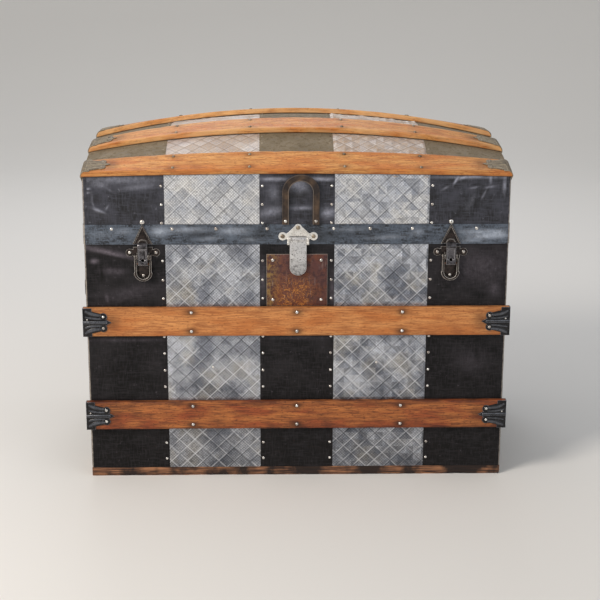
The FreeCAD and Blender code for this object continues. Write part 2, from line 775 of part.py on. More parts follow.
def catch_base():
    """Base plate: shoulders with two ears, a long round foot and two cheeks that hold the lever's pin."""
    half = CATCH_PLATE_WIDTH / 2
    shoulder = CATCH_SHOULDER_WIDTH / 2
    faces = [
        polygon(
            [
                flat_point(-shoulder, CATCH_PLATE_TOP),
                flat_point(shoulder, CATCH_PLATE_TOP),
                flat_point(shoulder, CATCH_EAR_HEIGHT - CATCH_EAR_BAR),
                flat_point(half, LEVER_AXIS_HEIGHT - CHEEK_EYE),
                flat_point(half, CATCH_PLATE_FOOT + half),
                flat_point(-half, CATCH_PLATE_FOOT + half),
                flat_point(-half, LEVER_AXIS_HEIGHT - CHEEK_EYE),
                flat_point(-shoulder, CATCH_EAR_HEIGHT - CATCH_EAR_BAR),
            ]
        ),
        disc(flat_point(0, CATCH_PLATE_FOOT + half), half, Vector(0, -1, 0)),
        polygon(
            [
                flat_point(-CATCH_EAR_REACH, CATCH_EAR_HEIGHT + CATCH_EAR_BAR),
                flat_point(CATCH_EAR_REACH, CATCH_EAR_HEIGHT + CATCH_EAR_BAR),
                flat_point(CATCH_EAR_REACH, CATCH_EAR_HEIGHT - CATCH_EAR_BAR),
                flat_point(-CATCH_EAR_REACH, CATCH_EAR_HEIGHT - CATCH_EAR_BAR),
            ]
        ),
    ]
    for side in (-1, 1):
        ear = flat_point(side * CATCH_EAR_REACH, CATCH_EAR_HEIGHT)
        faces.append(disc(ear, CATCH_EAR_LOBE, Vector(0, -1, 0)))
    plate = front_plate(faces, 0, CATCH_PLATE)
    outer = LEVER_WIDTH / 2 - LEVER_RIM - RUNNING_GAP
    cheeks = []
    for side in (-1, 1):
        x = sorted((side * outer, side * (outer - CHEEK)))
        axis_y = -HALF_DEPTH - LEVER_AXIS_OUT
        web_z = (LEVER_AXIS_HEIGHT - CHEEK_EYE, LEVER_AXIS_HEIGHT + CHEEK_EYE)
        web = block(x, (axis_y, -HALF_DEPTH), web_z)
        cheeks += [web, cylinder_x(x, axis_y, LEVER_AXIS_HEIGHT, CHEEK_EYE)]
    body = joined([plate] + cheeks)
    return body.cut(lever_bore())


def lever_bore():
    """The hole for the lever's pin."""
    width = (-LEVER_WIDTH, LEVER_WIDTH)
    return cylinder_x(width, -HALF_DEPTH - LEVER_AXIS_OUT, LEVER_AXIS_HEIGHT, LEVER_PIN + PIN_CLEARANCE)


def hook_bore():
    """The hole for the hook's pin."""
    width = (-LEVER_WIDTH, LEVER_WIDTH)
    return cylinder_x(width, -HALF_DEPTH - HOOK_AXIS_OUT, HOOK_AXIS_HEIGHT, HOOK_PIN + PIN_CLEARANCE)


def catch_lever():
    """Cast U-shaped lever: an eye at the top of each arm and a shoulder where the arms meet the bow."""
    outer = LEVER_WIDTH / 2
    inner = outer - LEVER_RIM
    centre = LEVER_FOOT + outer
    bulge = outer + LEVER_SHOULDER
    wire = Part.Wire(
        [
            line(flat_point(-outer, LEVER_AXIS_HEIGHT), flat_point(-outer, centre + LEVER_SHOULDER)),
            line(flat_point(-outer, centre + LEVER_SHOULDER), flat_point(-bulge, centre)),
            arc(flat_point(-bulge, centre), flat_point(0, LEVER_FOOT), flat_point(bulge, centre)),
            line(flat_point(bulge, centre), flat_point(outer, centre + LEVER_SHOULDER)),
            line(flat_point(outer, centre + LEVER_SHOULDER), flat_point(outer, LEVER_AXIS_HEIGHT)),
            line(flat_point(outer, LEVER_AXIS_HEIGHT), flat_point(inner, LEVER_AXIS_HEIGHT)),
            line(flat_point(inner, LEVER_AXIS_HEIGHT), flat_point(inner, centre)),
            arc(flat_point(inner, centre), flat_point(0, centre - inner), flat_point(-inner, centre)),
            line(flat_point(-inner, centre), flat_point(-inner, LEVER_AXIS_HEIGHT)),
            line(flat_point(-inner, LEVER_AXIS_HEIGHT), flat_point(-outer, LEVER_AXIS_HEIGHT)),
        ]
    )
    rim = front_plate([Part.Face(wire)], LEVER_BACK, LEVER_THICKNESS)
    axis_y = -HALF_DEPTH - LEVER_AXIS_OUT
    arms = [sorted((side * inner, side * outer)) for side in (-1, 1)]
    eyes = [cylinder_x(arm, axis_y, LEVER_AXIS_HEIGHT, LEVER_EYE) for arm in arms]
    return joined([rim] + eyes).cut(lever_bore()).cut(hook_bore())


def catch_hook():
    """Hook plate: an eye in the lever, a bordered flat in front of its pin, and a lip turned inwards."""
    half = HOOK_WIDTH / 2
    back = LEVER_AXIS_OUT + LEVER_PIN + RUNNING_GAP
    face = back + HOOK_PLATE
    lip = BAND + KEEPER + KEEPER_NOSE_RISE + HOOK_REACH
    middle = (lip + face) / 2
    root = HOOK_AXIS_HEIGHT - HOOK_EYE / 2

    def at(out, height):
        return front(-half, out, height)

    foot = at(HOOK_AXIS_OUT, root - HOOK_EYE / 2)
    heel = at(HOOK_AXIS_OUT, HOOK_AXIS_HEIGHT + HOOK_HEEL_RISE)
    neck = at(back, HOOK_AXIS_HEIGHT + HOOK_EYE)
    outer_turn = at(middle + HOOK_PLATE, HOOK_TOP - HOOK_PLATE)
    inner_turn = at(middle, HOOK_TOP - HOOK_LIP_DROP)
    wire = Part.Wire(
        [
            line(foot, at(face, root)),
            line(at(face, root), at(face, HOOK_SHOULDER)),
            arc(at(face, HOOK_SHOULDER), outer_turn, at(lip, HOOK_TOP)),
            line(at(lip, HOOK_TOP), at(lip, HOOK_TOP - HOOK_PLATE)),
            arc(at(lip, HOOK_TOP - HOOK_PLATE), inner_turn, at(back, HOOK_SHOULDER)),
            line(at(back, HOOK_SHOULDER), neck),
            line(neck, heel),
            line(heel, foot),
        ]
    )
    plate = Part.Face(wire).extrude(Vector(HOOK_WIDTH, 0, 0))
    eye = cylinder_x((-half, half), -HALF_DEPTH - HOOK_AXIS_OUT, HOOK_AXIS_HEIGHT, HOOK_EYE)
    hole = Part.makeCylinder(HOOK_HOLE, FAR, front(0, back - HOOK_PLATE, HOOK_HOLE_HEIGHT), Vector(0, -1, 0))
    recess = block(
        (HOOK_BORDER - half, half - HOOK_BORDER),
        (-HALF_DEPTH - face, -HALF_DEPTH - face + HOOK_RECESS),
        (HOOK_HOLE_HEIGHT, HOOK_SHOULDER - HOOK_BORDER),
    )
    return joined([plate, eye]).cut(hook_bore()).cut(hole).cut(recess)


def catch_pin(out, height, radius):
    """A pin across the lever, flush with its arms."""
    half = LEVER_WIDTH / 2
    return cylinder_x((-half, half), -HALF_DEPTH - out, height, radius)


def catch_keeper():
    """Lid's keeper: a triangle with a rib down each side, a domed knob and a round nose for the hook."""
    half = KEEPER_WIDTH / 2
    slope = math.atan2(half, KEEPER_APEX - KEEPER_FOOT)
    rib_drop = KEEPER_RIB / math.sin(slope)
    outward = Vector(0, -1, 0)
    sides = [flat_point(-half, KEEPER_FOOT), flat_point(0, KEEPER_APEX), flat_point(half, KEEPER_FOOT)]
    plate = front_plate([polygon(sides)], BAND, KEEPER)
    rib_inner = half - rib_drop * math.tan(slope)
    ribs = polygon(
        [
            flat_point(-half, KEEPER_FOOT),
            flat_point(0, KEEPER_APEX),
            flat_point(half, KEEPER_FOOT),
            flat_point(rib_inner, KEEPER_FOOT),
            flat_point(0, KEEPER_APEX - rib_drop),
            flat_point(-rib_inner, KEEPER_FOOT),
        ]
    )
    rib = front_plate([ribs], BAND, KEEPER + KEEPER_RIB_RISE)
    knob_out = BAND + KEEPER_KNOB_RISE - KEEPER_KNOB
    knob = Part.makeSphere(KEEPER_KNOB, front(0, knob_out, KEEPER_APEX + KEEPER_KNOB_GAP))
    knob = knob.common(block((-FAR, FAR), (-FAR, -HALF_DEPTH - BAND), (-FAR, FAR)))
    nose = disc(flat_point(0, KEEPER_FOOT), KEEPER_NOSE, outward)
    nose = front_plate([nose], BAND, KEEPER + KEEPER_NOSE_RISE)
    nose = nose.common(block((-FAR, FAR), (-FAR, FAR), (KEEPER_FOOT, FAR)))
    return joined([plate, rib, knob, nose])


def catch_base_nails():
    """Nails of a base plate: one in each ear and one in the foot."""
    places = [(-CATCH_EAR_REACH, CATCH_EAR_HEIGHT), (CATCH_EAR_REACH, CATCH_EAR_HEIGHT)]
    places.append((0, CATCH_PLATE_FOOT + CATCH_FOOT_NAIL_RISE))
    return [nail(front(x, CATCH_PLATE, z), Vector(0, -1, 0)) for x, z in places]


def at_x(shape, x):
    """A copy of a shape moved along the trunk's length."""
    moved = shape.copy()
    moved.translate(Vector(x, 0, 0))
    return moved


# ---- Back hinges


def knuckle_slots(fixed):
    """X ranges of the knuckles on one leaf: even slots are the box's and odd ones the lid's."""
    pitch = HINGE_WIDTH / HINGE_KNUCKLES
    gap = RUNNING_GAP / 2
    first = 0 if fixed else 1
    starts = [-HINGE_WIDTH / 2 + i * pitch for i in range(first, HINGE_KNUCKLES, 2)]
    return [(start + gap, start + pitch - gap) for start in starts]


def hinge_leaf(fixed):
    """One leaf: a plate on the box's back or on the lid's band, and its rolled knuckles round the pin."""
    half = HINGE_WIDTH / 2
    clear = HINGE_KNUCKLE + RUNNING_GAP
    inner = HALF_DEPTH if fixed else HALF_DEPTH + BAND
    y = (inner, inner + HINGE_LEAF)
    web_y = (inner, HINGE_AXIS_Y - HINGE_KNUCKLE + HINGE_LEAF)
    if fixed:
        z = (HINGE_AXIS_HEIGHT - clear - HINGE_LEAF_HEIGHT, HINGE_AXIS_HEIGHT - clear)
        web_z = (HINGE_AXIS_HEIGHT - clear, HINGE_AXIS_HEIGHT - SEAM_GAP)
    else:
        z = (HINGE_AXIS_HEIGHT + clear, HINGE_AXIS_HEIGHT + clear + HINGE_LID_LEAF_HEIGHT)
        web_z = (HINGE_AXIS_HEIGHT + SEAM_GAP, HINGE_AXIS_HEIGHT + clear)
    pieces = [block((-half, half), y, z)]
    for slot in knuckle_slots(fixed):
        pieces.append(block(slot, web_y, web_z))
        pieces.append(cylinder_x(slot, HINGE_AXIS_Y, HINGE_AXIS_HEIGHT, HINGE_KNUCKLE))
    bore = cylinder_x((-FAR, FAR), HINGE_AXIS_Y, HINGE_AXIS_HEIGHT, HINGE_PIN + PIN_CLEARANCE)
    return joined(pieces).cut(bore)


def hinge_places():
    """The three hinges along the back."""
    return (-HINGE_SPACING, 0.0, HINGE_SPACING)


# ---- Pieces of the lid


def lid_pieces():
    """Boards, staves, sheets and lining of the lid."""
    outside = under_dome(0)
    sheet_foot = under_dome(SHEET)
    stave_top = under_staves(0)
    stave_foot = under_staves(STAVE)

    walls = lid_form(SHEET, stave_foot)
    slab = HALF_DEPTH - SHEET - BOARD
    between = block((INNER_HALF_LENGTH, FAR), (-slab, slab), (-FAR, FAR))
    right_end = walls.common(between)
    pieces = {
        "lid_front_board": walls.common(block((-FAR, FAR), (-FAR, -slab), (-FAR, FAR))),
        "lid_back_board": walls.common(block((-FAR, FAR), (slab, FAR), (-FAR, FAR))),
        "lid_left_end_board": to_left(right_end),
        "lid_right_end_board": right_end,
    }

    crust = lid_form(SHEET, stave_top).cut(stave_foot)
    edges = stave_edges()
    staves = []
    for low, high in zip(edges, edges[1:]):
        between_joints = (low + STAVE_JOINT / 2, high - STAVE_JOINT / 2)
        staves.append(crust.common(block((-FAR, FAR), between_joints, (-FAR, FAR))))
    pieces["lid_staves"] = Part.makeCompound(staves)

    skin = lid_form(0, outside).cut(lid_form(SHEET, sheet_foot))
    fold = HALF_LENGTH - END_SHEET_FOLD
    pieces["lid_left_cover"] = skin.common(beyond(-fold, -TIN_OUTER))
    pieces["lid_left_tin"] = skin.common(beyond(-TIN_OUTER, -TIN_INNER))
    pieces["lid_centre_cover"] = skin.common(beyond(-TIN_INNER, TIN_INNER))
    pieces["lid_right_tin"] = skin.common(beyond(TIN_INNER, TIN_OUTER))
    pieces["lid_right_cover"] = skin.common(beyond(TIN_OUTER, fold))
    ends = [skin.common(beyond(-FAR, -fold)), skin.common(beyond(fold, FAR))]
    pieces["lid_end_covers"] = Part.makeCompound(ends)
    pieces["lid_lining"] = lid_lining()
    return pieces


def lid_lining():
    """Paper round the lid's walls, up to the staves."""
    high = LID_BASE + END_WALL - STAVE - SHEET - LINING_MARGIN
    length, depth = INNER_HALF_LENGTH, INNER_HALF_DEPTH
    outer = block((-length, length), (-depth, depth), (LID_BASE, high))
    return outer.cut(block((LINING - length, length - LINING), (LINING - depth, depth - LINING), (0, FAR)))


def lid_band():
    """Steel band round the lid's lower edge."""
    outer = box_form(-BAND, LID_BASE, BAND_TOP)
    return outer.cut(box_form(0, LID_BASE, BAND_TOP))


def hasp_bore():
    """The hole for the hasp's pin."""
    return cylinder_x((-FAR, FAR), -HALF_DEPTH - HASP_AXIS_OUT, HASP_AXIS_HEIGHT, HASP_PIN + PIN_CLEARANCE)


def hasp_plate():
    """Three-lobed plate on the band, with a cheek each side of the tongue."""
    outward = Vector(0, -1, 0)
    half = TONGUE_WIDTH / 2 + RUNNING_GAP + HASP_CHEEK
    low = HASP_AXIS_HEIGHT + HASP_KNUCKLE + RUNNING_GAP
    ear_height = HASP_AXIS_HEIGHT + HASP_EAR_RISE
    apex = HASP_AXIS_HEIGHT + HASP_APEX_RISE
    lobe = HASP_APEX_NECK
    bar = HASP_EAR_BAR
    faces = [
        polygon(
            [
                flat_point(-HASP_EAR_REACH, ear_height - bar),
                flat_point(HASP_EAR_REACH, ear_height - bar),
                flat_point(HASP_EAR_REACH, ear_height + bar),
                flat_point(half, ear_height + bar),
                flat_point(lobe, apex),
                flat_point(-lobe, apex),
                flat_point(-half, ear_height + bar),
                flat_point(-HASP_EAR_REACH, ear_height + bar),
            ]
        ),
        disc(flat_point(0, apex - HASP_APEX_LOBE / 2), HASP_APEX_LOBE, outward),
    ]
    for side in (-1, 1):
        faces.append(disc(flat_point(side * HASP_EAR_REACH, ear_height), HASP_EAR_LOBE, outward))
    plate = front_plate(faces, BAND, HASP_PLATE)
    axis_y = -HALF_DEPTH - HASP_AXIS_OUT
    room = block(
        (-half + HASP_CHEEK, half - HASP_CHEEK), (-FAR, 0), (-FAR, low)
    )
    plate = plate.cut(room)
    cheeks = []
    for side in (-1, 1):
        x = sorted((side * half, side * (half - HASP_CHEEK)))
        drop = HASP_AXIS_HEIGHT - HASP_CHEEK_DROP
        web = block(x, (axis_y, -HALF_DEPTH - BAND), (HASP_AXIS_HEIGHT, low))
        lug = block(x, (axis_y, -HALF_DEPTH - BAND), (drop + HASP_KNUCKLE, HASP_AXIS_HEIGHT))
        toe = cylinder_x(x, axis_y, drop + HASP_KNUCKLE, HASP_KNUCKLE)
        toe = toe.common(block(x, (-FAR, -HALF_DEPTH - BAND), (-FAR, FAR)))
        eye = cylinder_x(x, axis_y, HASP_AXIS_HEIGHT, HASP_KNUCKLE)
        cheeks += [web, lug, toe, eye]
    body = joined([plate] + cheeks).cut(hasp_bore())
    return at_x(body, HASP_X)


def hasp_pin():
    """Pin through the cheeks and the tongue."""
    half = TONGUE_WIDTH / 2 + RUNNING_GAP + HASP_CHEEK
    pin = cylinder_x((-half, half), -HALF_DEPTH - HASP_AXIS_OUT, HASP_AXIS_HEIGHT, HASP_PIN)
    return at_x(pin, HASP_X)


def hasp_tongue():
    """Hanging tongue: a rolled eye, a slightly bowed strip with a round end, and a staple behind it."""
    half = TONGUE_WIDTH / 2
    foot = HASP_AXIS_HEIGHT - TONGUE_LENGTH
    middle = HASP_AXIS_HEIGHT - TONGUE_LENGTH / 2
    back = HASP_AXIS_OUT - TONGUE / 2
    face = back + TONGUE

    def at(out, height):
        return front(-half, out, height)

    profile = Part.Wire(
        [
            arc(at(back, HASP_AXIS_HEIGHT), at(back + TONGUE_BOW, middle), at(back, foot)),
            line(at(back, foot), at(face, foot)),
            arc(at(face, foot), at(face + TONGUE_BOW, middle), at(face, HASP_AXIS_HEIGHT)),
            line(at(face, HASP_AXIS_HEIGHT), at(back, HASP_AXIS_HEIGHT)),
        ]
    )
    strip = Part.Face(profile).extrude(Vector(TONGUE_WIDTH, 0, 0))
    straight = polygon(
        [
            flat_point(-half, HASP_AXIS_HEIGHT + TONGUE),
            flat_point(half, HASP_AXIS_HEIGHT + TONGUE),
            flat_point(half, foot + half),
            flat_point(-half, foot + half),
        ]
    )
    round_end = disc(flat_point(0, foot + half), half, Vector(0, -1, 0))
    strip = strip.common(front_plate([straight, round_end], 0, FAR))
    eye = cylinder_x((-half, half), -HALF_DEPTH - HASP_AXIS_OUT, HASP_AXIS_HEIGHT, HASP_KNUCKLE)
    staple_z = HASP_AXIS_HEIGHT - STAPLE_DROP
    staple = block(
        (-STAPLE / 2, STAPLE / 2),
        (-HALF_DEPTH - back - TONGUE_BOW, -HALF_DEPTH - LOCK_PLATE - RUNNING_GAP),
        (staple_z, staple_z + STAPLE_HEIGHT),
    )
    return at_x(joined([strip, eye, staple]).cut(hasp_bore()), HASP_X)


def leather_loop():
    """Arched pull loop: two legs above the band and an arch that leans out over the edge slat."""
    outer = LOOP_WIDTH / 2
    inner = outer - LOOP_STRAP
    foot = BAND_TOP + RUNNING_GAP
    spring = foot + LOOP_HEIGHT - outer
    wire = Part.Wire(
        [
            line(flat_point(-outer, foot), flat_point(-outer, spring)),
            arc(flat_point(-outer, spring), flat_point(0, spring + outer), flat_point(outer, spring)),
            line(flat_point(outer, spring), flat_point(outer, foot)),
            line(flat_point(outer, foot), flat_point(inner, foot)),
            line(flat_point(inner, foot), flat_point(inner, spring)),
            arc(flat_point(inner, spring), flat_point(0, spring + inner), flat_point(-inner, spring)),
            line(flat_point(-inner, spring), flat_point(-inner, foot)),
            line(flat_point(-inner, foot), flat_point(-outer, foot)),
        ]
    )
    loop = front_plate([Part.Face(wire)], STRAP_CLEARANCE, LOOP_LEATHER)
    loop.rotate(front(0, STRAP_CLEARANCE, foot), Vector(1, 0, 0), LOOP_LEAN)
    return at_x(loop, LOOP_X)


def loop_nails():
    """One nail near the foot of each leg of the loop."""
    reach = LOOP_WIDTH / 2 - LOOP_STRAP / 2
    rise = LOOP_STRAP / 2
    lean = math.radians(LOOP_LEAN)
    out = STRAP_CLEARANCE + LOOP_LEATHER / math.cos(lean) + rise * math.tan(lean)
    height = BAND_TOP + RUNNING_GAP + rise
    normal = Vector(0, -math.cos(lean), -math.sin(lean))
    return [nail(front(LOOP_X + side * reach, out, height), normal) for side in (-1, 1)]


def hasp_nails():
    """Nails in the three lobes of the hasp plate."""
    apex = HASP_AXIS_HEIGHT + HASP_APEX_RISE - HASP_APEX_LOBE / 2
    ear = HASP_AXIS_HEIGHT + HASP_EAR_RISE
    places = [(0, apex), (-HASP_EAR_REACH, ear), (HASP_EAR_REACH, ear)]
    return [nail(front(HASP_X + x, BAND + HASP_PLATE, z), Vector(0, -1, 0)) for x, z in places]


# ---- The whole trunk


def trunk():
    """Every piece by name."""
    pieces = {}
    pieces.update(box_boards())
    pieces.update(box_covers())
    pieces["base_lining"] = box_lining()
    pieces["tray_cleats"] = Part.makeCompound(tray_cleats())

    upper = FlatSlat(UPPER_SLAT_HEIGHT)
    lower = FlatSlat(LOWER_SLAT_HEIGHT)
    pieces["front_upper_slat"] = slat_bar(upper)
    pieces["front_lower_slat"] = slat_bar(lower)
    pieces["back_upper_slat"] = mirrored(slat_bar(upper))
    pieces["back_lower_slat"] = mirrored(slat_bar(lower))
    clamps = both_ends(upper) + both_ends(lower)
    pieces["front_slat_clamps"] = Part.makeCompound(clamps)
    pieces["back_slat_clamps"] = Part.makeCompound([mirrored(clamp) for clamp in clamps])

    box_places = [-BOX_NAIL_SPACING, 0, BOX_NAIL_SPACING]
    front_nails = slat_nails(upper, box_places) + slat_nails(lower, box_places)
    right_cap_nails = cap_nails(-1) + cap_nails(1)
    box_nails = front_nails + [mirrored(head) for head in front_nails] + lock_nails()
    box_nails += right_cap_nails + [to_left(head) for head in right_cap_nails]
    box_nails += [at_x(head, side * CATCH_X) for side in (-1, 1) for head in catch_base_nails()]
    pieces["base_nails"] = Part.makeCompound(box_nails)

    strap = handle_strap()
    caps = [handle_cap(-1), handle_cap(1)]
    pieces["right_handle"] = strap
    pieces["left_handle"] = to_left(strap)
    pieces["handle_caps"] = Part.makeCompound(caps + [to_left(cap) for cap in caps])

    pieces["lock_plate"] = lock_plate()
    base, lever, hook, keeper = catch_base(), catch_lever(), catch_hook(), catch_keeper()
    lever_pin = catch_pin(LEVER_AXIS_OUT, LEVER_AXIS_HEIGHT, LEVER_PIN)
    hook_pin = catch_pin(HOOK_AXIS_OUT, HOOK_AXIS_HEIGHT, HOOK_PIN)
    pieces["catch_base_plates"] = Part.makeCompound([at_x(base, -CATCH_X), at_x(base, CATCH_X)])
    pieces["catch_lever_pins"] = Part.makeCompound([at_x(lever_pin, -CATCH_X), at_x(lever_pin, CATCH_X)])
    pieces["catch_keepers"] = Part.makeCompound([at_x(keeper, -CATCH_X), at_x(keeper, CATCH_X)])
    for name, x in (("left", -CATCH_X), ("right", CATCH_X)):
        pieces[name + "_catch_lever"] = at_x(lever, x)
        pieces[name + "_catch_hook"] = at_x(hook, x)
        pieces[name + "_catch_hook_pin"] = at_x(hook_pin, x)

    pieces.update(lid_pieces())
    pieces["lid_band"] = lid_band()
    edge = DomeSlat(EDGE_SLAT_END_INSET - HALF_DEPTH, EDGE_SLAT_INSET - HALF_DEPTH)
    crown = DomeSlat(-CROWN_SLAT_END_OFFSET, -CROWN_SLAT_OFFSET)
    edge_bar, crown_bar = slat_bar(edge), slat_bar(crown)
    pieces["lid_front_edge_slat"] = edge_bar
    pieces["lid_front_crown_slat"] = crown_bar
    pieces["lid_back_crown_slat"] = mirrored(crown_bar)
    pieces["lid_back_edge_slat"] = mirrored(edge_bar)
    lid_clamps = both_ends(edge) + both_ends(crown)
    pieces["lid_slat_clamps"] = Part.makeCompound(lid_clamps + [mirrored(clamp) for clamp in lid_clamps])
    lid_places = [-LID_NAIL_OUTER, -LID_NAIL_INNER, LID_NAIL_INNER, LID_NAIL_OUTER]
    front_lid_nails = slat_nails(edge, lid_places) + slat_nails(crown, lid_places)
    lid_nails = front_lid_nails + [mirrored(head) for head in front_lid_nails] + hasp_nails() + loop_nails()
    pieces["lid_nails"] = Part.makeCompound(lid_nails)

    pieces["hasp_plate"] = hasp_plate()
    pieces["hasp_pin"] = hasp_pin()
    pieces["hasp_tongue"] = hasp_tongue()
    pieces["leather_loop"] = leather_loop()

    box_leaf, lid_leaf = hinge_leaf(True), hinge_leaf(False)
    half = HINGE_WIDTH / 2
    pin = cylinder_x((-half, half), HINGE_AXIS_Y, HINGE_AXIS_HEIGHT, HINGE_PIN)
    pieces["hinge_box_leaves"] = Part.makeCompound([at_x(box_leaf, x) for x in hinge_places()])
    pieces["hinge_lid_leaves"] = Part.makeCompound([at_x(lid_leaf, x) for x in hinge_places()])
    pieces["hinge_pins"] = Part.makeCompound([at_x(pin, x) for x in hinge_places()])
    return pieces


def main():
    """Writes one STEP file for each piece."""
    os.makedirs("parts", exist_ok=True)
    for name, shape in trunk().items():
        shape.exportStep(os.path.join("parts", name + ".step"))


main()
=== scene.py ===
"""Dome top trunk: dressed pieces, finishes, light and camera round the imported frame.

Sizes in the classes are millimetres in the trunk's own axes; every mesh is written in metres.
"""

import json
import logging
import math
from dataclasses import dataclass
from enum import Enum
from functools import partial
from typing import Callable, ClassVar, Iterable, Sequence

import bmesh
import bpy
from mathutils import Matrix, Vector, noise


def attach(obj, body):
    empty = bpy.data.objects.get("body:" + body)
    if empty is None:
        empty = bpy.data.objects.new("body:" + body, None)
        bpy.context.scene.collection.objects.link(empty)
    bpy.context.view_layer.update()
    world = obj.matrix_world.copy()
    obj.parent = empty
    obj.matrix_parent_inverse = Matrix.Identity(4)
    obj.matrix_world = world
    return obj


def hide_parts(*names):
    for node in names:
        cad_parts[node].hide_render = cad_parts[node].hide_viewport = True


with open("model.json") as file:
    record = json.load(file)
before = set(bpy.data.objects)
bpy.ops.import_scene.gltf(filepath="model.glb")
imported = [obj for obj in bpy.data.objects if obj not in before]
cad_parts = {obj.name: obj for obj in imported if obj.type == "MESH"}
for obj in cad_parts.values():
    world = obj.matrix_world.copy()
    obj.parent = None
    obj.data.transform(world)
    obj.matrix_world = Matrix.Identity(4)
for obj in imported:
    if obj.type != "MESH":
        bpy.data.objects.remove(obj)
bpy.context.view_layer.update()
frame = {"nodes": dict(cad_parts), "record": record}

LOG = logging.getLogger("trunk")
MM = 0.001
BODY_OF = {node: body for body, nodes in frame["record"]["behaviour"]["bodies"].items() for node in nodes}

Tree = bpy.types.NodeTree
Source = bpy.types.NodeSocket | bpy.types.Node
Sockets = dict[str | int, object]
Adder = Callable[..., bpy.types.Node]
Frames = Sequence[tuple[Vector, Vector, Vector]]
Spot = tuple[float, Vector, Vector]
Plan = list[Spot]
Pairs = Sequence[tuple[float, float]]
Triple = tuple[float, float, float]
Rows = list[list[tuple[Vector, Triple]]]
Piece = bpy.types.Object


# ---- Small tools


def linear(colour: str) -> tuple[float, float, float, float]:
    """Turns an sRGB hex colour such as "#a0b0c0" to the linear numbers that a shader takes, with an alpha of 1."""
    channels = [int(colour[i : i + 2], 16) / 255 for i in (1, 3, 5)]
    return *[c / 12.92 if c <= 0.04045 else ((c + 0.055) / 1.055) ** 2.4 for c in channels], 1.0


def every(millimetres: float) -> float:
    """Scale of a pattern on metres whose marks are this many millimetres apart."""
    return 1 / (millimetres * MM)


def add_node(tree: Tree, kind: str, sockets: Sockets | None = None, **settings: object) -> bpy.types.Node:
    """Adds a node to a tree, sets it up and fills its inputs.

    Args:
        tree: the shader or geometry tree.
        kind: the node's type; a bare name such as "Math" is a shader node's.
        sockets: for each input, by name or number, its value, hex colour, or linked output or node.
        settings: the node's own properties.

    Returns:
        The new node.
    """
    made = tree.nodes.new(kind if "Node" in kind else "ShaderNode" + kind)
    for name, value in settings.items():
        setattr(made, name, value)
    for key, value in (sockets or {}).items():
        if isinstance(value, bpy.types.Node):
            value = value.outputs[0]
        if isinstance(value, bpy.types.NodeSocket):
            tree.links.new(value, made.inputs[key])
        else:
            made.inputs[key].default_value = linear(value) if str(value).startswith("#") else value
    return made


def new_mesh(name: str, points: Iterable[Vector], faces: Sequence[tuple[int, ...]] = ()) -> bpy.types.Mesh:
    """Makes a mesh in metres of points in millimetres."""
    mesh = bpy.data.meshes.new(name)
    mesh.from_pydata([point * MM for point in points], [], faces)
    return mesh


def quads(rows: int, ring: int, closed: bool = True) -> list[tuple[int, ...]]:
    """Corners of the faces between rows of points, where each row is a closed ring or an open line."""
    return [
        (r * ring + c, r * ring + (c + 1) % ring, (r + 1) * ring + (c + 1) % ring, (r + 1) * ring + c)
        for r in range(rows - 1)
        for c in range(ring if closed else ring - 1)
    ]


def link_object(data: bpy.types.ID) -> Piece:
    """Puts a mesh, a lamp or a camera into the scene, at the origin and under its own name."""
    piece = bpy.data.objects.new(data.name, data)
    bpy.context.scene.collection.objects.link(piece)
    return piece


def settle(piece: Piece) -> Piece:
    """Turns what a piece's modifiers make into its plain mesh, with no modifiers left."""
    depsgraph = bpy.context.evaluated_depsgraph_get()
    shown = piece.evaluated_get(depsgraph)
    mesh = bpy.data.meshes.new_from_object(shown, preserve_all_data_layers=True, depsgraph=depsgraph)
    piece.modifiers.clear()
    old = piece.data
    piece.data = mesh
    bpy.data.meshes.remove(old)
    return piece


def seat(piece: Piece, finish: "Finish", *nodes: str, body: str = "", slot: str = "") -> Piece:
    """Gives a piece its finish and body, lets it stand for the nodes it dresses, and reports it.

    Args:
        piece: the finished mesh object.
        finish: its finish.
        nodes: nodes that it replaces.
        body: the body it rides on, where it replaces none.
        slot: the record's material slot, where it replaces none; not used.

    Returns:
        The same object.
    """
    piece.data.materials.clear()
    piece.data.materials.append(finish.material())
    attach(piece, body or BODY_OF[nodes[0]])
    if nodes:
        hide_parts(*nodes)
    LOG.info("%s: %d faces", piece.name, len(piece.data.polygons))
    return piece


def add_layer(mesh: bpy.types.Mesh, name: str, kind: str, values: Iterable[float]) -> None:
    """Stores one attribute of a mesh's points, FLOAT or FLOAT_VECTOR, from its numbers in one flat row."""
    layer = mesh.attributes.new(name, kind, "POINT")
    layer.data.foreach_set("value" if kind == "FLOAT" else "vector", list(values))


def smooth_by_angle(mesh: bpy.types.Mesh, degrees: float) -> None:
    """Shades a mesh smooth, with sharp edges where its faces meet at more than an angle."""
    mesh.shade_smooth()
    mesh.set_sharp_from_angle(angle=math.radians(degrees))


def swept_bar(
    name: str,
    frames: Frames,
    section: Pairs,
    shape: Callable[[int, int, Vector], Vector] | None = None,
) -> Piece:
    """Sweeps a closed section along a path and closes its ends.

    Args:
        name: the object's name.
        frames: centre, across and outward direction of each station, in millimetres.
        section: points of the section as (across, out).
        shape: moves the point of a station and a section place, given both numbers and the point.

    Returns:
        The bar as an object.
    """
    points: list[Vector] = []
    for i, (centre, across, out) in enumerate(frames):
        for j, (a, o) in enumerate(section):
            point = centre + across * a + out * o
            points.append(shape(i, j, point) if shape else point)
    ring, last = len(section), len(frames) - 1
    faces = quads(len(frames), ring) + [tuple(range(ring)), tuple(last * ring + j for j in range(ring))]
    mesh = new_mesh(name, points, faces)
    skin = bmesh.new()
    skin.from_mesh(mesh)
    bmesh.ops.recalc_face_normals(skin, faces=skin.faces)
    skin.to_mesh(mesh)
    skin.free()
    return link_object(mesh)


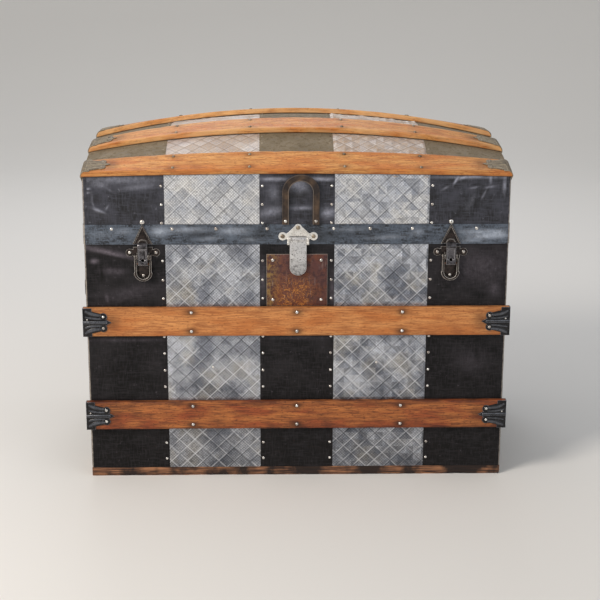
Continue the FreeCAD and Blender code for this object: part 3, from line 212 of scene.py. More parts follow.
def turned(name: str, rings: Pairs, sides: int) -> Piece:
    """Turns a profile round Z to a small closed shape that waits to be repeated.

    Args:
        name: its name.
        rings: radius and height of each ring in millimetres, lowest first.
        sides: points in each ring.

    Returns:
        The shape as an object outside the scene.
    """
    turns = [math.tau * side / sides for side in range(sides)]
    points = [Vector((r * math.cos(turn), r * math.sin(turn), z)) for r, z in rings for turn in turns]
    mesh = new_mesh(name, points, quads(len(rings), sides))
    skin = bmesh.new()
    skin.from_mesh(mesh)
    bmesh.ops.remove_doubles(skin, verts=skin.verts, dist=0.01 * MM)
    bmesh.ops.recalc_face_normals(skin, faces=skin.faces)
    skin.to_mesh(mesh)
    skin.free()
    return bpy.data.objects.new(name, mesh)


def rounded_section(width: float, low: float, high: float, radius: float, steps: int) -> list[tuple[float, float]]:
    """Section of a bar with eased outer corners.

    Args:
        width: across the bar.
        low: its underside.
        high: its upper side.
        radius: of the two upper corners.
        steps: divisions of the upper side.

    Returns:
        Points as (across, out), round the section.
    """
    half = width / 2
    foot = low + (high - low) / 5
    points = [(-half, low), (0.0, low), (half, low), (half, foot)]
    top = half - radius
    for side, begin in ((1, 0), (-1, 1)):
        for step in range(4):
            turn = math.pi / 2 * (begin + step / 3)
            points.append((side * top + radius * math.cos(turn), high - radius + radius * math.sin(turn)))
        if side > 0:
            points += [(top - 2 * top * step / steps, high) for step in range(1, steps)]
    points.append((-half, foot))
    return points


def evenly(low: float, high: float, pitch: float) -> list[float]:
    """Places from low to high, about one pitch apart, with both ends."""
    count = max(1, round((high - low) / pitch))
    return [low + (high - low) * i / count for i in range(count + 1)]


# ---- Form of the trunk


@dataclass(frozen=True)
class TrunkForm:
    """Outside form of the trunk, which every sheet, slat and nail follows."""

    length: float = 813.0
    depth: float = 483.0
    floor_board: float = 18.0
    seam: float = 474.0
    seam_gap: float = 0.5
    corner: float = 5.0
    centre_strip: float = 143.0
    tin_strip: float = 180.5
    end_wall: float = 130.5
    middle_wall: float = 136.5
    end_rise: float = 27.0
    middle_rise: float = 72.0
    band: float = 1.2
    band_height: float = 39.0
    end_fold: float = 9.0

    @property
    def front(self) -> float:
        """Half the flat part of the front, between the rounded corners."""
        return self.length / 2 - self.corner

    @property
    def bend(self) -> float:
        """Length of a rounded corner."""
        return self.corner * math.pi / 2

    @property
    def side(self) -> float:
        """Flat part of an end."""
        return self.depth - 2 * self.corner

    @property
    def lid_base(self) -> float:
        """Height of the lid's lower edge."""
        return self.seam + self.seam_gap

    @property
    def tin_inner(self) -> float:
        """Distance of the tin's inner edge from the middle."""
        return self.centre_strip / 2

    @property
    def tin_outer(self) -> float:
        """Distance of the tin's outer edge from the middle."""
        return self.tin_inner + self.tin_strip

    def bow(self, x: float) -> float:
        """1 at the middle of the lid and 0 at its ends, along a parabola."""
        return 1 - (2 * x / self.length) ** 2

    def wall_top(self, x: float) -> float:
        """Height at which the lid's straight wall ends."""
        return self.lid_base + self.end_wall + (self.middle_wall - self.end_wall) * self.bow(x)

    def rise(self, x: float) -> float:
        """How far the dome climbs above the wall."""
        return self.end_rise + (self.middle_rise - self.end_rise) * self.bow(x)

    def dome(self, x: float, y: float) -> float:
        """Height of the dome at a place."""
        return self.wall_top(x) + self.rise(x) * (1 - (2 * y / self.depth) ** 2)

    def tilt(self, x: float, y: float) -> float:
        """Angle at which the dome climbs towards the back."""
        return math.atan(-8 * self.rise(x) * y / self.depth**2)


FORM = TrunkForm()


# ---- Finishes


@dataclass(frozen=True)
class Finish:
    """A surface as its maker left it and use has worn it. Each finish makes its material once."""

    made: ClassVar[dict[str, bpy.types.Material]] = {}
    title: str

    def share(self, add: Adder, *parts: Sequence[object]) -> Source:
        """Where a layer shows: the product of how far each of its parts holds.

        Args:
            add: adds a node to the material.
            parts: for each what drives it, and where it starts, where it ends, its most and its least.

        Returns:
            The product.
        """
        shown = None
        for driver, *limits in parts:
            if limits:
                driver = add("MapRange", {0: driver, **dict(zip((1, 2, 4, 3), limits))})
            shown = add("Math", {0: shown, 1: driver}, operation="MULTIPLY") if shown else driver
        return shown

    def layered(self, add: Adder, colour: Source | str, *layers: Sequence[object]) -> Source:
        """Lays colours over a ground, one after another.

        Args:
            add: adds a node to the material.
            colour: the ground.
            layers: for each its colour and the parts of its share.

        Returns:
            The colour that shows.
        """
        for over, *parts in layers:
            sockets = {0: self.share(add, *parts), 6: colour, 7: over}
            colour = add("Mix", sockets, data_type="RGBA").outputs[2]
        return colour

    def paint(self, add: Adder, place: Source) -> Sockets:
        """Draws the finish.

        Args:
            add: adds a node to the material.
            place: position in metres on the piece.

        Returns:
            What goes into each socket of the shader.
        """
        raise NotImplementedError

    def material(self) -> bpy.types.Material:
        """The finish as a material."""
        if self.title not in Finish.made:
            material = bpy.data.materials.new(self.title)
            material.use_nodes = True
            material.node_tree.nodes.clear()
            add = partial(add_node, material.node_tree)
            place = add("TexCoord").outputs["Object"]
            shader = add("BsdfPrincipled", self.paint(add, place))
            add("OutputMaterial", {"Surface": shader})
            Finish.made[self.title] = material
        return Finish.made[self.title]


@dataclass(frozen=True)
class JapannedSheet(Finish):
    """Rolled sheet iron under baked black varnish: a fine grain with a broken sheen, partly painted into its colour,
    and bare metal at the corners that is partly a painted highlight.
    """

    coat: str
    # Colour of the polished clouds and grain, partly a painted sheen
    polish_and_sheen: str
    # Colour of rubbed spots and scuffs, and of the painted sheens and highlights among the scuff marks
    rub: str
    dust: str
    dusting: float
    cloud_size: float
    roughness: float
    gloss: float
    grain: float = 0.4
    # How much painted shade darkens the sheet towards its foot
    painted_foot_shade: float = 0.0
    warp: float = 18.0
    # Colour of bare metal at the corners, which is partly a painted highlight along them
    bare: str = "#a79d92"
    # Colour of stains, of painted shade below creases, and of the painted shade towards the foot
    soot: str = "#0c0a09"

    def paint(self, add: Adder, place: Source) -> Sockets:
        """Cloudy varnish with its grain, partly a painted sheen; rubbed places and scuffs with painted highlights; worn
        corners, partly a painted highlight; stains with painted shade; painted shade towards the foot; and the dust on
        what faces up.
        """
        cloud, spots = [
            add("TexNoise", {"Vector": place, "Scale": every(size), "Detail": 8.0, "Roughness": rough})
            for size, rough in ((self.cloud_size, 0.6), (9, 0.78))
        ]
        # The varnish's grain is finer than a millimetre, so it is drawn 2.6 mm apart, once along and once up
        threads = []
        for stretch in ((18.0, 18.0, 2.6), (2.6, 2.6, self.warp)):
            along = add("Mapping", {"Vector": place, "Scale": tuple(every(size) for size in stretch)})
            threads.append(add("TexNoise", {"Vector": along, "Scale": 1.0, "Detail": 3.0}))
        # Scuff marks with painted sheens and highlights, and stains with painted shade, as stored on the sheet
        scuff, soot = [add("Attribute", attribute_name=name).outputs["Fac"] for name in ("scuff", "soot")]
        where = add("SeparateXYZ", {0: place}).outputs
        corner = [(spots,)]
        for axis, reach in (("X", 406.5), ("Y", 241.5)):
            away = add("Math", {0: where[axis]}, operation="ABSOLUTE")
            corner.append((away, (reach - 4.5) * MM, (reach - 1.2) * MM))
        facing = add("TexCoord").outputs["Normal"]
        up = add("SeparateXYZ", {0: facing}).outputs["Z"]
        dusty = self.share(add, (up, 0.35, 0.85, self.dusting), (spots, 0.36, 0.6, 1.0, 0.6))
        colour = self.layered(
            add,
            self.coat,
            # Polished clouds, partly a painted sheen
            (self.polish_and_sheen, (cloud, 0.42, 0.68, 0.8)),
            # Painted shade: darker towards the foot
            (self.soot, (where["Z"], 0.45, 0.05, self.painted_foot_shade)),
            (self.polish_and_sheen, (threads[0], 0.46, 0.7, self.grain)),
            (self.polish_and_sheen, (threads[1], 0.46, 0.7, self.grain)),
            (self.rub, (spots, 0.6, 0.72, 0.35)),
            # Scuffs, with painted sheens and highlights
            (self.rub, (scuff,), (spots, 0.34, 0.58, 1.0, 0.35)),
            # Bare metal at the corners, partly a painted highlight along them
            (self.bare, (self.share(add, *corner), 0.22, 0.45, 0.85)),
            # Stains, with painted shade below creases and beside buckles
            (self.soot, (soot,)),
            (self.layered(add, self.dust, ("#a5957a", (cloud, 0.42, 0.62, 0.45))), (dusty,)),
            ("#4d4335", (spots, 0.5, 0.58, 0.6), (dusty,)),
        )
        shine = self.share(add, (cloud, 0.35, 0.65, self.roughness - 0.08, self.roughness + 0.12))
        height = add("Math", {0: spots, 1: cloud}, operation="ADD")
        return {
            "Base Color": colour,
            "Roughness": add("Math", {0: shine, 1: dusty}, operation="MAXIMUM"),
            "Specular IOR Level": self.gloss,
            "Normal": add("Bump", {"Strength": 0.5, "Distance": 0.9 * MM, "Height": height}),
        }


@dataclass(frozen=True)
class StampedTin(Finish):
    """Rolled tinplate stamped with hatched diamonds: cloudy silver, no two alike, with a painted highlight and painted
    shade as thin bright and dark lines beside each ridge.
    """

    bright: str
    dull: str
    warm: str
    # Colour of the hatching and specks, and of the painted shade beside each ridge
    line: str
    # Colour of the painted highlight beside each ridge
    ridge: str
    # Colour of each diamond's tone, and of the painted reflection on each face where the diamonds are pyramids
    shade: str
    dust: str
    dusting: float
    # How much painted shade darkens the tin towards its foot
    painted_foot_shade: float = 0.38

    def paint(self, add: Adder, place: Source) -> Sockets:
        """Cloudy tin, a tone for each diamond with a painted reflection on each face of a pyramid, its hatching,
        painted highlight and shade beside the lines between them, painted shade towards the foot, and the dust.
        """
        cloud = add("TexNoise", {"Vector": place, "Scale": every(55), "Detail": 7.0, "Roughness": 0.6})
        shifted = add("Mapping", {"Vector": place, "Location": (1.7, 0.4, 0.9)})
        tea = add("TexNoise", {"Vector": shifted, "Scale": every(45), "Detail": 6.0})
        speck = add("TexNoise", {"Vector": place, "Scale": every(4.5), "Detail": 4.0, "Roughness": 0.7})
        # The real hatching is about 1.2 mm apart, too fine for a render, so it is drawn 4 mm apart
        sheet = add("Attribute", attribute_name="sheet").outputs["Vector"]
        eighth = {"Vector": sheet, "Rotation": (0, 0, math.pi / 4), "Scale": (1, 1, 0)}
        hatch = {"Vector": add("Mapping", eighth), "Scale": math.pi / 10 / 4, "Distortion": 0.8}
        woven = self.share(add, *[(add("TexWave", hatch, bands_direction=way),) for way in "XY"])
        # The diamond tone with painted face reflections, and the bands of painted highlight and painted shade beside
        # each ridge
        cell, ridge, groove = [
            add("Attribute", attribute_name=name).outputs["Fac"] for name in ("cell", "ridge", "groove")
        ]
        facing = add("TexCoord").outputs["Normal"]
        up = add("SeparateXYZ", {0: facing}).outputs["Z"]
        dusty = self.share(add, (up, 0.4, 0.85, self.dusting), (speck, 0.4, 0.6, 0.6, 1.0), (cell, 0.0, 1.0, 1.0, 0.55))
        tin = self.layered(
            add,
            self.dull,
            (self.bright, (cloud, 0.4, 0.6)),
            (self.warm, (tea, 0.52, 0.7, 0.6)),
            # Each diamond's tone, and a painted reflection on each face of a pyramid
            (self.shade, (cell, 0.3, 1.0, 0.7)),
            (self.line, (woven, 0.0, 0.5, 0.0, 0.44)),
            (self.line, (speck, 0.48, 0.68, 0.5)),
            # Painted shade: darker towards the foot
            ("#1c1b1b", (add("SeparateXYZ", {0: place}).outputs["Z"], 0.26, 0.06, self.painted_foot_shade)),
            # Painted highlight along the upper side of each ridge
            (self.ridge, (ridge,), (tea, 0.42, 0.56, 0.7, 0.12)),
            # Painted shade along the lower side of each ridge
            (self.line, (groove,), (tea, 0.6, 0.44, 0.85, 0.12)),
            (self.dust, (dusty,)),
            # Dirt settles along the lines
            ("#6f5844", (groove,), (up, 0.4, 0.85, 0.55 * self.dusting)),
        )
        shine = self.share(add, (cloud, 0.35, 0.7, 0.32, 0.44))
        height = add("Math", {0: woven, 1: speck}, operation="ADD")
        return {
            "Base Color": tin,
            "Metallic": self.share(add, (dusty, 0.0, 0.6, 0.0, 0.55)),
            "Roughness": add("Math", {0: shine, 1: dusty}, operation="MAXIMUM"),
            "Normal": add("Bump", {"Strength": 0.5, "Distance": 0.5 * MM, "Height": height}),
        }


@dataclass(frozen=True)
class OiledAsh(Finish):
    """Sawn ash, some of it bent, under old oil: straight fine grain, an orange ground, iron stains round its nails and
    painted shade at the foot of its sides.
    """

    light: str
    deep: str
    red: str
    vein: str
    edge: float = 0.25
    rim: str = "#3f2216"
    # Colour of the stains round nails and clamps and of the painted shade at the foot of the sides
    stain: str = "#24160e"

    def paint(self, add: Adder, place: Source) -> Sockets:
        """Grain that follows the bar, pores, red and yellow clouds, dirty edges, and stains with painted shade."""
        bar = add("Attribute", attribute_name="bar").outputs["Vector"]
        stain = add("Attribute", attribute_name="stain").outputs["Fac"]
        # Length and width in millimetres and detail of each kind of mark. Real fibres are a third of a millimetre wide,
        # so they are drawn 2.2 mm wide
        sizes = ((240.0, 9.0, 3.0), (90.0, 26.0, 5.0), (26.0, 2.2, 5.0), (6.0, 2.6, 3.0), (55.0, 14.0, 5.0))
        marks = []
        for along, across, detail in sizes:
            stretch = {"Vector": bar, "Scale": (1 / along, 1 / across, 1 / across), "Location": (along, across, 0)}
            mapped = add("Mapping", stretch)
            marks.append(add("TexNoise", {"Vector": mapped, "Scale": 1.0, "Detail": detail}))
        across = add("SeparateXYZ", {0: bar}).outputs["Y"]
        away = add("Math", {0: across}, operation="ABSOLUTE")
        colour = self.layered(
            add,
            self.light,
            (self.deep, (marks[0], 0.34, 0.68, 0.9)),
            (self.red, (marks[1], 0.46, 0.6, 0.7)),
            (self.vein, (marks[2], 0.44, 0.62, 0.6)),
            (self.vein, (marks[3], 0.56, 0.66, 0.6)),
            (self.vein, (marks[4], 0.55, 0.74, 0.55)),
            # Dirty outer edges of the bar; on the crown bars the pale rim colour is painted light instead
            (self.rim, (away, 17.0, 28.5, 2 * self.edge), (marks[4], 0.35, 0.6)),
            # Stains round nails and clamps, and painted shade at the foot of the sides
            (self.stain, (stain,)),
        )
        tips = add("TexNoise", {"Vector": place, "Scale": every(5), "Detail": 3.0})
        return {
            "Base Color": colour,
            "Roughness": self.share(add, (tips, 0.3, 0.7, 0.46, 0.62)),
            "Specular IOR Level": 0.35,
            "Normal": add("Bump", {"Strength": 0.5, "Distance": 0.4 * MM, "Height": marks[2]}),
        }


@dataclass(frozen=True)
class RawPine(Finish):
    """Planed pine left bare inside: pale straight grain that has gone brown and grey with age."""

    title: str = "aged planed pine"
    light: str = "#b98d5c"
    dark: str = "#7b5530"
    grime: str = "#4a3422"
    grain: Triple = (260.0, 5.0, 9.0)
    grime_share: float = 0.6

    def paint(self, add: Adder, place: Source) -> Sockets:
        """Grain along the boards and grime in patches."""
        along = add("Mapping", {"Vector": place, "Scale": tuple(every(size) for size in self.grain)})
        grain = add("TexNoise", {"Vector": along, "Scale": 1.0, "Detail": 6.0, "Distortion": 0.5})
        patches = add("TexNoise", {"Vector": place, "Scale": every(60), "Detail": 7.0})
        layers = ((self.light, (grain, 0.35, 0.66)), (self.grime, (patches, 0.42, 0.54, self.grime_share)))
        return {
            "Base Color": self.layered(add, self.dark, *layers),
            "Roughness": 0.78,
            "Normal": add("Bump", {"Strength": 0.5, "Distance": 0.4 * MM, "Height": grain}),
        }


@dataclass(frozen=True)
class WornMetal(Finish):
    """Plated or cast metal after long use: patches of tarnish, bright edges that are partly rubbed and partly a painted
    highlight, small dark pits, and painted shade below a given height.
    """

    metal: str
    tarnish: str
    # Colour of the eased edges: partly rubbed metal, partly a painted highlight
    edge: str
    pit: str
    metallic: float
    roughness: float
    patch_size: float = 12.0
    pit_size: float = 2.4
    pitting: float = 0.7
    tarnish_share: float = 0.5
    # Height in metres below which painted shade darkens the metal; 0 leaves it out
    shade_below: float = 0.0

    def paint(self, add: Adder, place: Source) -> Sockets:
        """Tarnish in patches, painted shade below a height, pits, and a bright colour on the eased edges that is partly
        wear and partly a painted highlight.
        """
        patch = {"Vector": place, "Scale": every(self.patch_size), "Detail": 6.0, "Roughness": 0.65}
        cloud = add("TexNoise", patch)
        pits = add("TexNoise", {"Vector": place, "Scale": every(self.pit_size), "Detail": 4.0})
        height = add("SeparateXYZ", {0: place}).outputs["Z"]
        worn = add("Attribute", attribute_name="edge").outputs["Fac"]
        middle = 0.68 - 0.36 * self.tarnish_share
        colour = self.layered(
            add,
            self.metal,
            (self.tarnish, (cloud, middle - 0.08, middle + 0.1)),
            # Painted shade below a height
            ("#46464c", (height, self.shade_below + 0.006, self.shade_below - 0.03, 0.8), (cloud, 0.4, 0.56, 1.0, 0.5)),
            (self.pit, (pits, 0.6, 0.68, self.pitting)),
            # Bright eased edges: partly wear, partly a painted highlight
            (self.edge, (worn,), (cloud, 0.3, 0.55, 1.0, 0.35)),
        )
        return {
            "Base Color": colour,
            "Metallic": self.metallic,
            "Roughness": self.share(add, (cloud, 0.3, 0.7, self.roughness + 0.14, self.roughness - 0.08)),
            "Normal": add("Bump", {"Strength": 0.35, "Distance": 0.25 * MM, "Height": pits}),
        }


@dataclass(frozen=True)
class RustedPlate(Finish):
    """Rolled iron plate that lost its plating: dark plum skin with curling orange rust, thickest low in the middle."""

    title: str = "rusted iron plate"
    skin: str = "#5a342f"
    plum: str = "#2f1c22"
    brown: str = "#7c4526"
    orange: str = "#d08a3c"
    ochre: str = "#8a6f3a"
    pale: str = "#a89c92"

    def paint(self, add: Adder, place: Source) -> Sockets:
        """Patches of brown, curls of orange low in the middle and a few pale scratches."""
        cloud, mottle, curl = [
            add("TexNoise", {"Vector": place, "Scale": every(size), **rest})
            for size, rest in (
                (24, {"Detail": 6.0, "Distortion": 0.5}),
                (6, {"Detail": 5.0, "Roughness": 0.7}),
                (9, {"Detail": 3.0, "Distortion": 1.6}),
            )
        ]
        along = add("Mapping", {"Vector": place, "Scale": (every(3), every(3), every(30))})
        scratch = add("TexNoise", {"Vector": along, "Scale": 1.0, "Detail": 3.0})
        edge = add("Attribute", attribute_name="edge").outputs["Fac"]
        where = add("SeparateXYZ", {0: place}).outputs
        away, ridge = [
            add("Math", {0: add("Math", {0: source, 1: middle}, operation="SUBTRACT")}, operation="ABSOLUTE")
            for source, middle in ((where["X"], -0.006), (curl, 0.5))
        ]
        zone = self.share(add, (where["Z"], 0.42, 0.385, 1.0, 0.08), (away, 0.042, 0.018, 1.0, 0.12))
        colour = self.layered(
            add,
            self.skin,
            (self.brown, (cloud, 0.5, 0.68, 0.7)),
            (self.plum, (mottle, 0.46, 0.6, 0.75)),
            (self.ochre, (where["X"], -0.03, -0.052), (mottle, 0.56, 0.42, 0.9)),
            (self.brown, (zone,), (cloud,)),
            (self.orange, (ridge, 0.035, 0.0), (zone,)),
            (self.pale, (scratch, 0.62, 0.75, 0.4)),
            (self.pale, (edge,)),
        )
        return {
            "Base Color": colour,
            "Metallic": 0.1,
            "Roughness": self.share(add, (cloud, 0.35, 0.65, 0.75, 0.5)),
            "Normal": add("Bump", {"Strength": 0.6, "Distance": 0.5 * MM, "Height": curl}),
        }


@dataclass(frozen=True)
class NailSteel(Finish):
    """Turned and hammered steel nail heads, rubbed bright on top, some browner than others."""

    title: str = "rubbed nail steel"
    bright: str = "#f1eee8"
    brown: str = "#958981"
    roughness: float = 0.24

    def paint(self, add: Adder, place: Source) -> Sockets:
        """Each head has its own tone, with a little tarnish over it."""
        tone = add("Attribute", attribute_name="tone").outputs["Fac"]
        cloud = add("TexNoise", {"Vector": place, "Scale": every(3), "Detail": 3.0})
        aged = self.share(add, (tone,), (cloud,))
        return {
            "Base Color": self.layered(add, self.bright, (self.brown, (aged, 0.12, 0.62))),
            "Metallic": 0.85,
            "Roughness": self.roughness,
            "Normal": add("Bump", {"Strength": 0.3, "Distance": 0.15 * MM, "Height": cloud}),
        }


@dataclass(frozen=True)
class HarnessLeather(Finish):
    """Vegetable-tanned strap leather, dry and dark, with pale rubbed edges and a pebbled grain."""

    hide: str
    dry: str
    rubbed: str

    def paint(self, add: Adder, place: Source) -> Sockets:
        """Pebbled grain, dry patches and rubbed edges."""
        patch = add("TexNoise", {"Vector": place, "Scale": every(16), "Detail": 6.0})
        edge = add("Attribute", attribute_name="rim").outputs["Fac"]
        grain = add("TexVoronoi", {"Vector": place, "Scale": every(1.6)})
        return {
            "Base Color": self.layered(add, self.hide, (self.dry, (patch, 0.4, 0.7)), (self.rubbed, (edge,))),
            "Roughness": 0.62,
            "Normal": add("Bump", {"Strength": 0.45, "Distance": 0.3 * MM, "Height": grain}),
        }


@dataclass(frozen=True)
class LiningPaper(Finish):
    """Pasted rag paper, yellowed and foxed, lying a little unevenly on its board."""

    title: str = "aged lining paper"
    paper: str = "#c9b48e"
    yellowed: str = "#a98a5c"
    foxing: str = "#6e4c2a"

    def paint(self, add: Adder, place: Source) -> Sockets:
        """Yellowing in clouds, foxing in spots and fibres that catch the light."""
        cloud = add("TexNoise", {"Vector": place, "Scale": every(90), "Detail": 6.0})
        spots = add("TexNoise", {"Vector": place, "Scale": every(6), "Detail": 4.0})
        layers = ((self.yellowed, (cloud, 0.35, 0.65)), (self.foxing, (spots, 0.62, 0.72, 0.6)))
        return {
            "Base Color": self.layered(add, self.paper, *layers),
            "Roughness": 0.85,
            "Normal": add("Bump", {"Strength": 0.3, "Distance": 0.5 * MM, "Height": cloud}),
        }


# Each sheet's rub colour also paints the sheens and highlights of its scuff marks, and its polish clouds are partly a
# painted sheen
BOX_SHEET = JapannedSheet(
    "japanned sheet iron", "#0d0d0e", "#302d30", "#857c86", "#4a443c", 0.3, 60.0, 0.5, 0.2, 0.5, 0.85
)
LID_SHEET = JapannedSheet(
    "japanned sheet iron of the lid", "#17171b", "#454650", "#b3b6c6", "#87785e", 0.94, 40.0, 0.4, 0.42, 0.6
)
BAND_STEEL = JapannedSheet(
    "blued band steel", "#181b21", "#5d6775", "#b4bdcb", "#6f6757", 0.3, 20.0, 0.36, 0.45, 0.9, warp=3.0
)
# The shade colour paints each diamond's tone and the painted reflection of a pyramid's faces; the ridge colour paints a
# highlight beside each ridge
BOX_TIN = StampedTin(
    "stamped tinplate of the box", "#eef2fa", "#989da8", "#d6cfbf", "#2b2d34", "#f8faff", "#565a64", "#6b6660", 0.2
)
LID_TIN = StampedTin(
    "stamped tinplate of the lid", "#ffffff", "#e2e6ee", "#f8f2e6", "#44464e", "#ffffff", "#868b96", "#b99a7a", 0.9, 0.0
)
UPPER_ASH = OiledAsh("oiled ash", "#dd9a5c", "#c67f46", "#bb6c33", "#94552d", 0.16)
# The lower bars are painted darker than the upper ones as shade low down, and their edges carry more dirt
LOWER_ASH = OiledAsh("darkened ash", "#c87c42", "#9a572d", "#8f3d22", "#4b271a", 0.4, "#3c1a14")
EDGE_ASH = OiledAsh("sunned ash", "#e7aa66", "#d08d48", "#cb7636", "#93542a", 0.14, "#a3602f")
# The crown bars' pale rim colour, laid over their outer parts, is painted light
CROWN_ASH = OiledAsh("bleached ash", "#e7aa66", "#d08d48", "#cb7636", "#93542a", 0.3, "#efc087")
PINE = RawPine(grime_share=0.4)
WORN_PINE = RawPine("scuffed bottom board", "#b07a54", "#38201a", "#1a100d", (50.0, 3.4, 2.4), 0.95)
CLAMP_BLACK = WornMetal("japanned clamp plate", "#0c0c0e", "#17171a", "#7c8089", "#2b201a", 0.3, 0.24)
CLAMP_DUSTY = WornMetal("dusty clamp plate", "#6e6353", "#8a7d69", "#aca18c", "#2b2520", 0.1, 0.6, 7, 2.4, 0.85)
NICKEL = WornMetal("worn nickel plate", "#f0ede6", "#cfc9bf", "#ffffff", "#1d1a18", 0.55, 0.34, 16, 2.6, 0.9, 0.35)
# The tongue is painted darker below 444 mm as shade
TONGUE_NICKEL = WornMetal(
    "rubbed nickel plate", "#dad9d9", "#a5a3a2", "#f0eeea", "#1d1b1b", 0.7, 0.34, 7, 2.6, 0.9, 0.3, 0.444
)
CATCH_STEEL = WornMetal("tarnished catch steel", "#3a302c", "#1a1413", "#cfc9c2", "#0d0a09", 0.5, 0.32, 9, 2.4, 0.7)
HOOK_STEEL = WornMetal("rubbed hook steel", "#605e62", "#2c2a2c", "#b3b1b4", "#0e0c0c", 0.6, 0.3, 8, 2.4, 0.7, 0.5)
PIN_STEEL = WornMetal("rusty pin steel", "#5b3a28", "#7a4a2b", "#8c6a50", "#2a1a12", 0.4, 0.6, 5)
LOCK_IRON = RustedPlate()
CAST_IRON = WornMetal("blackened cast iron", "#222122", "#35302d", "#6b6560", "#3d2a1f", 0.5, 0.5)
NAILS = NailSteel()
DULL_NAILS = NailSteel("tarnished nail steel", "#a29684", "#5b4938", 0.45)
STRAP_LEATHER = HarnessLeather("dry harness leather", "#211714", "#55412f", "#8f8378")
STITCH_THREAD = HarnessLeather("waxed linen thread", "#8c7a5e", "#a08e70", "#a08e70")
PAPER = LiningPaper()


# ---- Repeats


class PartTree:
    """Geometry nodes with named inputs that end in one plain, dressed mesh."""

    def __init__(self, name: str, kinds: dict[str, str]) -> None:
        """Starts the tree.

        Args:
            name: its name.
            kinds: name and kind of each input, besides the geometry and the material.
        """
        self.tree = bpy.data.node_groups.new(name, "GeometryNodeTree")
        self.inputs: dict[str, str] = {}
        for label, kind in {"Geometry": "Geometry", **kinds, "Material": "Material"}.items():
            socket = self.tree.interface.new_socket(name=label, in_out="INPUT", socket_type="NodeSocket" + kind)
            self.inputs[label] = socket.identifier
        self.tree.interface.new_socket(name="Geometry", in_out="OUTPUT", socket_type="NodeSocketGeometry")
        self.add = partial(add_node, self.tree)
        self.given = self.add("NodeGroupInput").outputs

    def end(self, geometry: Source) -> None:
        """Makes what the tree built real and dresses it."""
        real = self.add("GeometryNodeRealizeInstances", {"Geometry": geometry})
        sockets = {"Geometry": real, "Material": self.given["Material"]}
        self.add("NodeGroupOutput", {0: self.add("GeometryNodeSetMaterial", sockets)})

    def give(self, piece: Piece, finish: Finish, values: dict[str, object]) -> None:
        """Puts the tree on a piece.

        Args:
            piece: what it works on.
            finish: its finish.
            values: value of each named input.
        """
        modifier = piece.modifiers.new(self.tree.name, "NODES")
        modifier.node_group = self.tree
        for name, value in {**values, "Material": finish.material()}.items():
            modifier[self.inputs[name]] = value


@dataclass(frozen=True)
class Mark:
    """One place for a repeated shape: where it sits, which way it looks and its size."""

    place: Vector
    aim: Vector
    size: float


class ScatterTree(PartTree):
    """Geometry nodes that set one small shape on every marked point of a mesh."""

    def __init__(self) -> None:
        """Builds the tree once."""
        super().__init__("set on marks", {"Shape": "Object", "Size Spread": "Float", "Seed": "Int"})
        add, given = self.add, self.given
        aim = add("GeometryNodeInputNamedAttribute", {"Name": "aim"}, data_type="FLOAT_VECTOR")
        size = add("GeometryNodeInputNamedAttribute", {"Name": "size"}, data_type="FLOAT")
        least = add("Math", {0: 1.0, 1: given["Size Spread"]}, operation="SUBTRACT")
        spin, spread, tone = [
            add("FunctionNodeRandomValue", {2: low, 3: high, "Seed": given["Seed"]}, data_type="FLOAT").outputs[1]
            for low, high in ((0.0, math.tau), (least, 1.0), (0.0, 1.0))
        ]
        start = add("FunctionNodeAxisAngleToRotation", {"Axis": (0, 0, 1), "Angle": spin})
        sockets = {
            "Points": given["Geometry"],
            "Instance": add("GeometryNodeObjectInfo", {"Object": given["Shape"]}).outputs["Geometry"],
            "Rotation": add("FunctionNodeAlignRotationToVector", {0: start, 2: aim}, axis="Z"),
            "Scale": add("Math", {0: size, 1: spread}, operation="MULTIPLY"),
        }
        placed = add("GeometryNodeInstanceOnPoints", sockets)
        self.end(
            add(
                "GeometryNodeStoreNamedAttribute",
                {"Geometry": placed, "Name": "tone", "Value": tone},
                data_type="FLOAT",
                domain="INSTANCE",
            )
        )

    def scatter(self, name: str, marks: Sequence[Mark], shape: Piece, finish: Finish, spread: float = 0.0) -> Piece:
        """Sets a shape on marks and makes one plain mesh of it.

        Args:
            name: the object's name.
            marks: where each copy goes.
            shape: the small object that is repeated.
            finish: its finish.
            spread: how much smaller than its mark a copy may be, as a share.

        Returns:
            The repeated shape as one object.
        """
        mesh = new_mesh(name, [mark.place for mark in marks])
        add_layer(mesh, "aim", "FLOAT_VECTOR", [part for mark in marks for part in mark.aim])
        add_layer(mesh, "size", "FLOAT", [mark.size for mark in marks])
        piece = link_object(mesh)
        self.give(piece, finish, {"Shape": shape, "Size Spread": spread, "Seed": len(marks)})
        settle(piece)
        piece.data.shade_smooth()
        return piece


